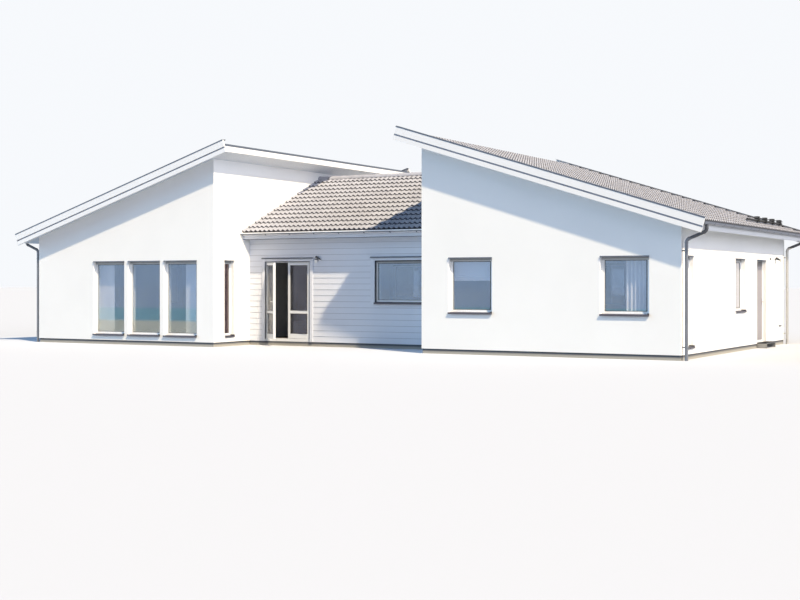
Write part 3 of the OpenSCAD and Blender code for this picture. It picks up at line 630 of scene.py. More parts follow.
class Palette:
    """The house's finishes, one material for each slot of the frame and for the added pieces."""

    def __init__(self) -> None:
        """Builds every material once."""
        middle_gutters = {MIDDLE_GUTTERS: tone(232, 231, 235)}
        # The rear downpipe's paler colour is painted sunlight; the necks are dark graphite.
        painted_light_and_necks = {REAR_PIPE_PAINTED_LIGHT: tone(176, 174, 170), PIPE_NECKS: tone(74, 77, 84)}
        plates = {LAMP_PLATES: tone(228, 228, 228)}
        step_top = {STEP_TOP: tone(48, 49, 52)}
        # Painted reflections of the haze and the ground, and the tints of the side and slit panes.
        mirrored = (tone(140, 192, 217), tone(190, 198, 192), tone(222, 224, 236), tone(128, 112, 118))
        finishes = {
            "plinth": Concrete("plinth_concrete", tone(88, 91, 97), tone(190, 184, 172)),
            "floor": FloorTile("floor_tiles", tone(150, 140, 128)),
            "render": Plaster("white_render", tone(244, 243, 241)),
            "inner_wall": Plaster("inner_plaster", tone(225, 225, 223), 0.0003),
            "white_boards": PaintedTimber("white_boards", tone(228, 231, 239)),
            "verge_boards": PaintedTimber("verge_boards", tone(238, 238, 239)),
            "soffit": Soffit("soffit_boards", tone(222, 227, 233)),
            "roof_tile": ConcreteTile(
                "roof_tile", tone(170, 172, 182), tone(187, 188, 198), tone(147, 148, 158)
            ),
            "graphite_sheet": SheetMetal("graphite_sheet", tone(84, 92, 106)),
            "gutter_sheet": SheetMetal("gutter_sheet", tone(124, 130, 144), zones=middle_gutters),
            # A painted shadow under the verges' upper boards.
            "verge_painted_shadow": PaintedTimber("verge_painted_shadow", tone(132, 138, 152)),
            "grey_sheet": SheetMetal("grey_sheet", tone(78, 76, 86)),
            "zinc_pipe": SheetMetal(
                "pipe_coat", tone(110, 114, 122), 0.3, 0.38, (6.0, 6.0, 1.0), painted_light_and_necks
            ),
            "black_steel": SheetMetal("black_steel", tone(38, 40, 44)),
            "white_frame": Lacquer("white_frame", tone(240, 241, 242)),
            "window_glass": Glazing("window_glass", tone(166, 193, 227), *mirrored),
            "door_glass": Glazing("door_glass", *[tone(98, 98, 106)] * 5, opacity=0.5),
            # The entry door's top is darkened below its head: painted shade.
            "entry_door": Lacquer("entry_door", tone(156, 150, 154), 0.38, under_z=2.17),
            "lamp_metal": SheetMetal("lamp_metal", tone(72, 75, 80), 0.4, 0.35, zones=plates),
            "graphite_bead": SheetMetal("graphite_bead", tone(66, 74, 90)),
            "pale_bead": SheetMetal("pale_bead", tone(236, 237, 240)),
            "step_steel": SheetMetal("step_steel", tone(150, 149, 146), 0.3, 0.4, zones=step_top),
            "cloth": Cloth("curtain_cloth", tone(246, 247, 250)),
            "rubber": Rubber("sealing_rubber", tone(30, 31, 34)),
        }
        self.materials = {slot: finish.material() for slot, finish in finishes.items()}

    def __getitem__(self, slot: str) -> Material:
        """Gives a slot's material."""
        return self.materials[slot]

    def dress(self, nodes: dict[str, Object]) -> None:
        """Gives every node of the frame the material of its slot.

        Args:
            nodes: The frame's nodes by name.
        """
        for node in nodes.values():
            for slot in node.material_slots:
                name = slot.material.name.split(".")[0]
                slot.material = self.materials[OWN_FINISH.get(node.name, name)]


class Piece:
    """One added piece: it gathers closed shapes in one mesh and ends as one object."""

    def __init__(self, name: str) -> None:
        """Starts an empty mesh."""
        self.name, self.mesh = name, bmesh.new()

    def bar(self, low: Vec, high: Vec, bevel: float = 0.0) -> list[BMVert]:
        """Adds a bar between two corners.

        Args:
            low: Its lowest corner.
            high: Its highest corner.
            bevel: The width of its broken edges.

        Returns:
            Its points, before its edges are broken.
        """
        size = [b - a for a, b in zip(low, high)]
        centre = Vector([(a + b) / 2 for a, b in zip(low, high)])
        shape = Matrix.Translation(centre) @ Matrix.Diagonal((*size, 1.0))
        points = bmesh.ops.create_cube(self.mesh, size=1.0, matrix=shape)["verts"]
        if bevel:
            edges = list({edge for point in points for edge in point.link_edges})
            bmesh.ops.bevel(
                self.mesh, geom=edges, offset=bevel, affect="EDGES", segments=1, profile=0.5, material=-1
            )
        return points

    def turned(self, profile: list[Range], origin: Vec, along: Vec, start: Vec, angle: float,
               steps: int) -> None:
        """Turns a closed outline about an axis.

        Args:
            profile: Points as (way along the axis, distance from it).
            origin: The axis's start.
            along: The axis's direction.
            start: The direction that the outline starts in.
            angle: How far it turns, in radians.
            steps: How many steps it turns in.
        """
        base, way, out = Vector(origin), Vector(along), Vector(start)
        points = [self.mesh.verts.new(base + way * a + out * r) for a, r in profile]
        face = self.mesh.faces.new(points)
        bmesh.ops.spin(
            self.mesh, geom=[face, *face.edges, *points], cent=base, axis=way, angle=angle, steps=steps,
            use_merge=angle == math.tau
        )

    def object(self, material: Material, slot: str, body: Body = Body.HOUSE, smooth: float = 0.0,
               merge: bool = False) -> Object:
        """Ends the piece.

        Args:
            material: Its material.
            slot: A slot of the frame; not used.
            body: What it moves with.
            smooth: The angle under which edges are smooth, in degrees, or 0 for none.
            merge: Whether points that meet are joined first.

        Returns:
            The object.
        """
        if merge:
            bmesh.ops.remove_doubles(self.mesh, verts=self.mesh.verts[:], dist=MEETING)
        bmesh.ops.recalc_face_normals(self.mesh, faces=self.mesh.faces[:])
        return settle(finished(self.mesh, self.name), self.name, material, body, smooth)


def finished(mesh: BMesh, name: str) -> Mesh:
    """Ends a mesh under construction.

    Args:
        mesh: The mesh under construction.
        name: The finished mesh's name.

    Returns:
        The finished mesh.
    """
    data = bpy.data.meshes.new(name)
    mesh.to_mesh(data)
    mesh.free()
    return data


def settle(data: Mesh, name: str, material: Material, body: Body = Body.HOUSE,
           smooth: float = 0.0) -> Object:
    """Puts a finished mesh in the scene.

    Args:
        data: The mesh.
        name: The object's name.
        material: Its material.
        body: What it moves with.
        smooth: The angle under which edges are smooth, in degrees, or 0 for none.

    Returns:
        The object.
    """
    data.materials.clear()
    data.materials.append(material)
    made = bpy.data.objects.new(name, data)
    bpy.context.scene.collection.objects.link(made)
    if smooth:
        data.shade_smooth()
        data.set_sharp_from_angle(angle=math.radians(smooth))
    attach(made, body.value)
    return made


def drawn_out(mesh: BMesh, faces: list[BMFace], way: Vec) -> list[BMVert]:
    """Draws faces that stand alone out into a solid.

    Args:
        mesh: Their mesh.
        faces: The faces.
        way: How far they are drawn.

    Returns:
        The points of the solid's far side.
    """
    made = bmesh.ops.extrude_face_region(mesh, geom=faces)["geom"]
    points = [item for item in made if isinstance(item, BMVert)]
    bmesh.ops.translate(mesh, vec=way, verts=points)
    return points


def merged(node: str) -> BMesh:
    """Copies a node's mesh and joins the points that meet.

    Args:
        node: The node's name.

    Returns:
        The copy.
    """
    mesh = bmesh.new()
    mesh.from_mesh(frame["nodes"][node].data)
    bmesh.ops.remove_doubles(mesh, verts=mesh.verts[:], dist=MEETING)
    return mesh


@cache
def shells(node: str) -> list[Box]:
    """Finds the separate solids of a node.

    Args:
        node: The node's name.

    Returns:
        The lowest and highest corner of each.
    """
    mesh = merged(node)
    left, found = set(mesh.verts), []
    while left:
        front = [left.pop()]
        shell = list(front)
        while front:
            near = {edge.other_vert(point) for point in front for edge in point.link_edges} & left
            left -= near
            front = list(near)
            shell += front
        corners = [[point.co[axis] for point in shell] for axis in range(3)]
        found.append((Vector([min(c) for c in corners]), Vector([max(c) for c in corners])))
    mesh.free()
    return sorted(found, key=lambda box: tuple(round(c, 3) for c in box[0]))


def boarded_panes() -> list[tuple[int, float, Vector, Vector]]:
    """Finds the panes that stand in the boarded walls.

    Returns:
        For each, -1 for the front or 1 for the rear, the boards' outer face, and its corners.
    """
    low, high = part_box("middle_cladding")
    return [
        (facing, face, a, b)
        for a, b in shells("window_glass")
        for facing, face in ((-1, low[1]), (1, high[1]))
        if abs((a.y + b.y) / 2 - face) < SIZES.face_reach and low[0] < a.x < high[0]
    ]


@dataclass(frozen=True)
class Sizes:
    """The house's main sizes in metres, and its planes."""

    x_left_in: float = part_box("left_front_wall")[1][0]
    x_right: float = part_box("right_front_wall")[1][0]
    y_wing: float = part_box("left_tiles")[1][1]
    y_front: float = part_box("left_front_wall")[0][1]
    y_ridge: float = (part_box("middle_tiles")[0][1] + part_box("middle_tiles")[1][1]) / 2
    ridge_z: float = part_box("middle_tiles")[1][2]
    wing_pitch: float = math.radians(17.5)
    middle_pitch: float = math.radians(23.5)
    wing_eave_z: float = 3.385
    casing: float = 0.075
    face_reach: float = 0.12
    tile_layer: float = 0.0947
    tile_drop: float = 0.025


SIZES = Sizes()


@dataclass
class Part:
    """What all sub-assemblies have: the house's finishes."""

    palette: Palette


@dataclass
class TileField:
    """A slope of double-wave concrete tiles, laid in straight courses.

    Each tile is closed and a few dozen faces. It lies on the tail of the tile below it.
    """

    name: str
    origin: Vector
    across: Vector
    up: Vector
    width: float
    length: float
    seed: int
    tile_cover: float = 0.30
    tile_gauge: float = 0.345
    wave: float = 0.0240
    waves: int = 2
    nose: float = 0.0360
    tail: float = 0.0010
    head_lap: float = 0.02
    # Band under each nose that gets painted shade with grime.
    grime_and_shade: float = 0.045
    joint: float = 0.0025
    wave_steps: int = 6
    sink: float = 0.0008
    slip: float = 0.0012
    skew: float = 0.0015
    comb_depth: Range = (0.012, 0.020)
    comb_gap: float = 0.006

    def __post_init__(self) -> None:
        """Works out how many tiles fill the slope."""
        self.columns = round(self.width / self.tile_cover)
        self.courses = round(self.length / self.tile_gauge)
        self.cover = self.width / self.columns
        self.gauge = self.length / self.courses

    def height(self, x: float, y: float) -> float:
        """Gives the top's height at a point of a tile, under the plane of the crests."""
        turn = math.tau * x / (self.cover / self.waves)
        return self.wave * (math.cos(turn) - 1) - self.nose * y / self.gauge

    def tile(self) -> Mesh:
        """Models one tile in the slope's own axes.

        Returns:
            The mesh.
        """
        mesh = bmesh.new()
        bmesh.ops.create_grid(mesh, x_segments=self.waves * self.wave_steps, y_segments=2, size=0.5)
        reach = self.gauge + self.head_lap
        for point in mesh.verts:
            x = (point.co.x + 0.5) * (self.cover - self.joint)
            y = reach if point.co.y > 0.25 else 0.0 if point.co.y < -0.25 else self.gauge - self.grime_and_shade
            point.co = (x, y, self.height(x, y))
        for point in drawn_out(mesh, mesh.faces[:], (0, 0, -self.nose)):
            point.co.z += (self.nose - self.tail) * point.co.y / reach
        bmesh.ops.recalc_face_normals(mesh, faces=mesh.faces[:])
        return finished(mesh, self.name)

    def spread_out(self, tile: Mesh) -> Mesh:
        """Repeats the tile over the slope.

        Args:
            tile: One tile.

        Returns:
            The whole slope's mesh, course by course.
        """
        carrier = bpy.data.objects.new(self.name, tile)
        bpy.context.scene.collection.objects.link(carrier)
        for count, step in ((self.columns, (self.cover, 0, 0)), (self.courses, (0, self.gauge, 0))):
            array = carrier.modifiers.new("row", "ARRAY")
            array.count = count
            array.use_relative_offset = False
            array.use_constant_offset = True
            array.constant_offset_displace = step
        bpy.context.view_layer.update()
        data = bpy.data.meshes.new_from_object(carrier.evaluated_get(bpy.context.evaluated_depsgraph_get()))
        bpy.data.objects.remove(carrier)
        return data

    def vary(self, data: Mesh) -> None:
        """Lays each tile a little off its place and marks its tone, and the painted shade and grime of its
        nose and of the band under the next nose.

        Args:
            data: The slope's mesh.
        """
        chance = np.random.default_rng(self.seed)
        tiles = self.courses * self.columns
        faces = len(data.polygons) // tiles
        points = np.empty(len(data.vertices) * 3)
        data.vertices.foreach_get("co", points)
        points = points.reshape(tiles, -1, 3)
        points[:, :, 2] -= np.abs(chance.normal(0, self.sink, (tiles, 1)))
        points[:, :, 1] += chance.normal(0, self.slip, (tiles, 1))
        turn = chance.normal(0, self.skew, (tiles, 1))
        points[:, :, 1] += turn * (points[:, :, 0] - points[:, :, 0].mean(axis=1, keepdims=True))
        points[:, :, 1] = np.clip(points[:, :, 1], 0, self.length)
        points[:, :, 0] = np.clip(points[:, :, 0], 0, self.width)
        data.vertices.foreach_set("co", points.ravel())
        tones = np.repeat(chance.uniform(0, 1, tiles), faces)
        normals, centres = (np.empty(len(data.polygons) * 3) for _ in range(2))
        data.polygons.foreach_get("normal", normals)
        data.polygons.foreach_get("center", centres)
        # Marks for painted shade with grime: the nose faces, and the band under each next nose.
        above = centres.reshape(-1, 3)[:, 1] - np.repeat(np.arange(tiles) // self.columns, faces) * self.gauge
        dirt_and_shade_band = (above > self.gauge - self.grime_and_shade) * 0.8
        noses = np.where(normals.reshape(-1, 3)[:, 1] < -0.8, 1.0, dirt_and_shade_band)
        for name, marks in (("tile_tone", tones), ("tile_nose_dirt_and_shade", noses)):
            data.attributes.new(name, "FLOAT", "FACE").data.foreach_set("value", marks)

    def place(self) -> Matrix:
        """Gives the way from the slope's own axes to the house's."""
        axes = Matrix((self.across, self.up, self.across.cross(self.up))).transposed().to_4x4()
        return Matrix.Translation(self.origin) @ axes

    def mesh(self) -> Mesh:
        """Builds the slope in the house's axes.

        Returns:
            The mesh.
        """
        data = self.spread_out(self.tile())
        self.vary(data)
        data.transform(self.place())
        return data

    def comb(self, mesh: BMesh) -> None:
        """Adds the comb that closes the waves behind the lowest noses.

        Args:
            mesh: The mesh that it joins.
        """
        near, far = self.comb_depth
        steps = self.columns * self.waves * self.wave_steps
        front = bmesh.ops.create_grid(mesh, x_segments=steps, y_segments=1, size=0.5)["verts"]
        for point in front:
            x = (point.co.x + 0.5) * self.width
            top = self.height(x, 0.0) - self.comb_gap
            point.co = (x, near, top if point.co.y > 0 else -2 * self.wave - self.nose)
        back = drawn_out(mesh, mesh.faces[-steps:], (0, far - near, 0))
        bmesh.ops.transform(mesh, matrix=self.place(), verts=front + back)


@dataclass
class Roofs(Part):
    """The tiles of both wings and of the middle part, the ridge and the verges' facings."""

    board: float = 0.025
    ridge_gap: float = 0.012
    strip_ends: Range = (0.004, 0.352)
    facing: Range = (0.240, 0.350)
    # Depth of the dark strip under the upper verge boards: a painted shadow.
    joint: Range = (0.200, 0.240)
    caps: int = 16
    cap_radius: float = 0.110
    cap_lip: float = 0.03
    closers: Piece = field(default_factory=lambda: Piece("eave_combs"))

    def slope(self, name: str, start: Vec, facing: Vec, pitch: float, width: float, length: float,
              seed: int) -> Mesh:
        """Lays the tiles of one slope, and their comb.

        Args:
            name: The mesh's name.
            start: The corner that the courses start from.
            facing: The level direction that the slope looks in.
            pitch: Its pitch, in radians.
            width: Its width along the eave.
            length: Its length up the slope.
            seed: The seed of its tiles' tones and places.

        Returns:
            The mesh.
        """
        level, upright = Vector(facing), Vector((0, 0, 1))
        up = upright * math.sin(pitch) - level * math.cos(pitch)
        out = upright * math.cos(pitch) + level * math.sin(pitch)
        tiles = TileField(name, Vector(start), up.cross(out), up, width, length, seed)
        tiles.comb(self.closers.mesh)
        return tiles.mesh()

    def tiled(self, data: Mesh, name: str, node: str) -> Object:
        """Ends a roof's tiles, which stand for a node."""
        made = settle(data, name, self.palette["roof_tile"], smooth=35)
        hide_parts(node)
        return made

    def wing(self, side: int, node: str) -> Object:
        """Lays a wing's tiles.

        Args:
            side: -1 for the left wing and 1 for the right.
            node: The node that they stand for.

        Returns:
            The piece.
        """
        pitch, name = SIZES.wing_pitch, f"{node}_courses"
        low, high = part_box(node)
        outer = low[0] if side < 0 else high[0]
        rise = (abs(outer) - SIZES.x_right) * math.tan(pitch)
        crest = SIZES.wing_eave_z - rise - SIZES.tile_drop / math.cos(pitch)
        level = high[0] - low[0] - (SIZES.tile_layer - SIZES.tile_drop) * math.sin(pitch)
        length = level / math.cos(pitch)
        start = (outer, -side * SIZES.y_wing, crest)
        data = self.slope(name, start, (side, 0, 0), pitch, high[1] - low[1], length, 11 + side)
        return self.tiled(data, name, node)

    def middle(self) -> Object:
        """Lays the tiles of the middle part's two slopes.

        Returns:
            The piece.
        """
        pitch = SIZES.middle_pitch
        low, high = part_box("middle_tiles")
        reach = (high[1] - low[1]) / 2
        length = reach / math.cos(pitch) - self.ridge_gap
        whole = bmesh.new()
        for facing in (-1, 1):
            corner = low[0] if facing < 0 else high[0]
            start = (corner, SIZES.y_ridge + facing * reach, SIZES.ridge_z - reach * math.tan(pitch))
            data = self.slope("slope", start, (0, facing, 0), pitch, high[0] - low[0], length, 21 + facing)
            whole.from_mesh(data)
        return self.tiled(finished(whole, "middle_tile_courses"), "middle_tile_courses", "middle_tiles")

    def verge_strip(self, piece: Piece, side: int, depth: Range, proud: float) -> None:
        """Lays strips along a wing's front and rear verge, on the lower boards.

        Args:
            piece: The piece that they join.
            side: -1 for the left wing and 1 for the right.
            depth: From and to, square to the slope, under the verge's top line.
            proud: How far they stand out from the lower boards.
        """
        low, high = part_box("left_roof_boards" if side < 0 else "right_roof_boards")
        sine, cosine = math.sin(SIZES.wing_pitch), math.cos(SIZES.wing_pitch)
        reaches = sorted((abs(low[0]), abs(high[0])), reverse=True)
        eave, top = (
            (SIZES.x_right - reach - shift * sine) / cosine
            for reach, shift in zip(reaches, self.strip_ends)
        )
        face = high[1] - self.board
        for end in (-1, 1):
            points = [
                piece.mesh.verts.new((
                    side * (SIZES.x_right - s * cosine - n * sine), end * face,
                    SIZES.wing_eave_z + s * sine - n * cosine
                ))
                for s, n in ((eave, depth[0]), (top, depth[0]), (top, depth[1]), (eave, depth[1]))
            ]
            drawn_out(piece.mesh, [piece.mesh.faces.new(points)], (0, end * proud, 0))

    def verges(self) -> list[Object]:
        """Faces the lower verge boards and lays a dark strip under the upper ones: a painted shadow of the
        upper boards.

        Returns:
            The facings and the painted shadow strips.
        """
        facings, shadow_strips = Piece("verge_facings"), Piece("verge_painted_shadows")
        for side in (-1, 1):
            self.verge_strip(facings, side, self.facing, self.board - 0.004)
            # A dark strip under the upper boards: a painted shadow.
            self.verge_strip(shadow_strips, side, self.joint, 0.008)
        return [
            facings.object(self.palette["verge_boards"], "white_boards"),
            shadow_strips.object(self.palette["verge_painted_shadow"], "graphite_sheet"),
        ]

    def combs(self) -> Object:
        """Ends the combs that the slopes have laid."""
        return self.closers.object(self.palette["rubber"], "black_steel")

    def ridge(self) -> Object:
        """Lays half-round ridge tiles, each with its lip over the next.

        Returns:
            The piece.
        """
        low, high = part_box("ridge_tiles")
        cover, radius = (high[0] - low[0]) / self.caps, self.cap_radius
        piece = Piece("ridge_caps")
        for i in range(self.caps):
            reach = cover + (self.cap_lip if i < self.caps - 1 else 0)
            profile = [
                (0.0, radius), (0.035, radius), (0.045, radius - 0.006), (reach, radius - 0.012),
                (reach, radius - 0.024), (0.0, radius - 0.014)
            ]
            start = (low[0] + i * cover, SIZES.y_ridge, high[2] - radius)
            piece.turned(profile, start, (1, 0, 0), (0, -1, 0), -math.pi, 14)
        made = piece.object(self.palette["roof_tile"], "roof_tile", smooth=40)
        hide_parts("ridge_tiles")
        return made


@dataclass
class LapBoards(Part):
    """Lap boards over both faces of the middle part, cut at the openings and the doorway."""

    cover: float = 0.160
    foot: float = 0.028
    top: float = 0.019
    depth: float = 0.0295
    top_gap: float = 0.013
    sliver: float = 0.002

    def __post_init__(self) -> None:
        """Finds the openings behind the boards from the panes and the door frame."""
        self.openings = {-1: [], 1: []}
        rim = SIZES.casing
        for facing, _, a, b in boarded_panes():
            self.openings[facing].append((a.x - rim, b.x + rim, a.z - rim, b.z + rim))
        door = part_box("patio_door_frame")
        self.openings[-1].append((door[0][0], door[1][0], 0.0, door[1][2]))

    def free(self, facing: int, z0: float, z1: float, x0: float, x1: float) -> list[tuple[float, ...]]:
        """Cuts one course of boards at the openings.

        Args:
            facing: -1 for the front and 1 for the rear.
            z0: The course's lower edge.
            z1: Its upper edge.
            x0: Its left end.
            x1: Its right end.

        Returns:
            The boards as (left, right, bottom, top).
        """
        holes = sorted(self.openings[facing])
        rows = sorted({z0, z1, *(z for hole in holes for z in hole[2:] if z0 < z < z1)})
        boards = []
        for bottom, top in zip(rows, rows[1:]):
            start = x0
            for left, right, sill, head in holes:
                if sill < (bottom + top) / 2 < head:
                    boards.append((start, left, bottom, top))
                    start = right
            boards.append((start, x1, bottom, top))
        return [board for board in boards if board[1] - board[0] > self.sliver]

    def build(self) -> Object:
        """Builds the boards.

        Returns:
            The piece.
        """
        low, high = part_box("middle_cladding")
        chance = np.random.default_rng(5)
        piece = Piece("lap_boards")
        layers = piece.mesh.faces.layers.float
        for name in ("board_tone", "painted_lap_shade"):
            layers.new(name)
        for facing, face in ((-1, low[1]), (1, high[1])):
            for course in range(math.ceil((high[2] - low[2]) / self.cover)):
                z0 = low[2] + course * self.cover
                z1 = min(z0 + self.cover, high[2] - self.top_gap)
                shade = float(chance.uniform(0, 1))
                for outline in self.free(facing, z0, z1, low[0], high[0]):
                    self.board(piece, facing, face, z0, outline)
                    # Each board gets its tone and the mark for its painted shade line under the next board's
                    # foot.
                    for item in piece.mesh.faces[-6:]:
                        item[layers["board_tone"]] = shade
                        item[layers["painted_lap_shade"]] = 1.0
        made = piece.object(self.palette["white_boards"], "white_boards")
        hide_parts("middle_cladding")
        return made

    def board(self, piece: Piece, facing: int, face: float, z0: float, outline: tuple[float, ...]) -> None:
        """Adds one board, thick at its foot and thin at its top.

        Args:
            piece: The piece that it joins.
            facing: -1 for the front and 1 for the rear.
            face: The wall's outer face.
            z0: Its course's lower edge.
            outline: Its left, right, bottom and top.
        """
        left, right, bottom, top = outline
        back = face - facing * self.depth
        for point in piece.bar((left, min(face, back), bottom), (right, max(face, back), top)):
            if abs(point.co.y - back) > MEETING:
                way = (point.co.z - z0) / self.cover
                point.co.y = back + facing * (self.foot + (self.top - self.foot) * way)


@dataclass
class Seals(Part):
    """Dark seals, gaskets and strips round frames and panes, and the caps and lips of the sills; the wide
    strips and the caps are partly painted shade.
    """

    thick: float = 0.004
    bead: float = 0.012
    front_shade_bead: float = 0.026
    side_shade_bead: float = 0.050
    leaf_bead: float = 0.010
    casing_shade_bead: float = 0.030
    door_shade_bead: float = 0.018
    recess: Range = (0.020, 0.013)
    sill_rise: float = 0.016
    cap: Range = (0.032, 0.003)
    lip: float = 0.010
    eased: float = 0.002

    @staticmethod
    def ring(piece: Piece, low: Vec, high: Vec, width: float, sides: str = "lrbt") -> None:
        """Adds a ring of bars inside a rectangle that stands along x or along y.

        Args:
            piece: The piece that it joins.
            low: The rectangle's lowest corner.
            high: The rectangle's highest corner.
            width: The bars' width.
            sides: Which bars it has: left, right, bottom and top.
        """
        along = 0 if high[0] - low[0] > high[1] - low[1] else 1
        for side in sides:
            axis = along if side in "lr" else 2
            a, b = list(low), list(high)
            if side in "lb":
                b[axis] = a[axis] + width
            else:
                a[axis] = b[axis] - width
            piece.bar(a, b)

    def facing(self, centre: Vector, thin: int) -> int:
        """Says which way a pane looks.

        Args:
            centre: The pane's middle.
            thin: The axis across the pane.

        Returns:
            1 towards higher coordinates and -1 towards lower ones.
        """
        if thin == 0 and abs(centre.x - SIZES.x_left_in) < 0.5:
            return 1
        return -1 if centre[thin] < 0 else 1

    def gaskets(self) -> Object:
        """Lays a thin gasket round each fixed pane, on its outer face, and a wider dark strip at one side
        that is painted shade.

        Returns:
            The piece.
        """
        piece = Piece("pane_gaskets")
        for a, b in shells("window_glass"):
            thin = 0 if b.x - a.x < b.y - a.y else 1
            out = self.facing((a + b) / 2, thin)
            face = b[thin] if out > 0 else a[thin]
            low, high = list(a), list(b)
            low[thin], high[thin] = sorted((face, face + out * self.thick))
            self.ring(piece, low, high, self.bead)
            # A wider dark strip at one side of front and side panes: painted shade from the reveal.
            if thin == 1 and out < 0:
                self.ring(piece, low, high, self.front_shade_bead, "r")
            elif thin == 0 and out > 0:
                self.ring(piece, low, high, self.side_shade_bead, "l")
        return piece.object(self.palette["rubber"], "black_steel")

    def leaf_gaskets(self, node: str, body: Body) -> Object:
        """Lays gaskets round the panes of a door leaf, on both faces.

        Args:
            node: The panes' node.
            body: The leaf.

        Returns:
            The piece.
        """
        mesh = merged(node)
        level = (edge for edge in mesh.edges if abs(edge.verts[0].co.z - edge.verts[1].co.z) < MEETING)
        flat = max(level, key=lambda edge: edge.calc_length())
        way, up = (flat.verts[1].co - flat.verts[0].co).normalized(), Vector((0, 0, 1))
        turn = Matrix((way, up.cross(way), up)).to_4x4()
        mesh.transform(turn)
        levels = sorted({round(point.co.z, 4) for point in mesh.verts})
        xs, ys = ([point.co[axis] for point in mesh.verts] for axis in (0, 1))
        mesh.free()
        piece = Piece(f"{node}_gaskets")
        for bottom, top in zip(levels[::2], levels[1::2]):
            for near, far in ((min(ys) - self.thick, min(ys)), (max(ys), max(ys) + self.thick)):
                self.ring(piece, (min(xs), near, bottom), (max(xs), far, top), self.leaf_bead)
        piece.mesh.transform(turn.inverted())
        return piece.object(self.palette["rubber"], "black_steel", body)

    def frame_seals_and_shade(self) -> Object:
        """Lays dark strips between the casings and the frames that stand in the boards, and round the patio
        door's frame: the seals, and painted shade in the gap.

        Returns:
            The piece.
        """
        piece = Piece("frame_seals_and_shade")
        for out, face, a, b in boarded_panes():
            y0, y1 = sorted(face - out * recess for recess in self.recess)
            low = (a.x - SIZES.casing, y0, a.z - SIZES.casing + self.sill_rise)
            high = (b.x + SIZES.casing, y1, b.z + SIZES.casing)
            # Wide dark strips at the sides and the top: the seal, and painted shade in the gap.
            self.ring(piece, low, high, self.casing_shade_bead, "lrt")
            self.ring(piece, low, high, self.bead, "b")
        # A dark strip round the patio door's frame: the seal, and painted shade under the casing.
        low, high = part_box("patio_door_frame")
        start, end = (low[0], low[1] - 0.006, low[2] + 0.06), (high[0], low[1], high[2])
        self.ring(piece, start, end, self.door_shade_bead, "lrt")
        return piece.object(self.palette["rubber"], "black_steel")

    def sill_ends(self) -> list[Object]:
        """Caps the right end of each sill in black, an end cap and painted shade, and folds a drip lip down
        along its outer edge.

        Returns:
            The caps and the lips.
        """
        caps, lips = Piece("sill_caps_and_shade"), Piece("sill_lips")
        for a, b in shells("window_sills"):
            along = 0 if b.x - a.x > b.y - a.y else 1
            across = 1 - along
            low, high = list(a), list(b)
            # A black cap at the right end only: the end cap, and painted shade on the sill's end.
            low[along], high[along] = b[along] - self.cap[0], b[along] + self.cap[1]
            caps.bar((low[0], low[1], a.z - 0.010), (high[0], high[1], b.z + 0.022), self.eased)
            out = self.facing((a + b) / 2, across)
            edge = b[across] if out > 0 else a[across]
            low, high = list(a), list(b)
            low[across], high[across] = sorted((edge, edge + out * self.lip))
            lips.bar((low[0], low[1], a.z - 0.014), (high[0], high[1], b.z - 0.004), self.eased)
        return [
            caps.object(self.palette["black_steel"], "black_steel"),
            lips.object(self.palette["grey_sheet"], "grey_sheet"),
        ]


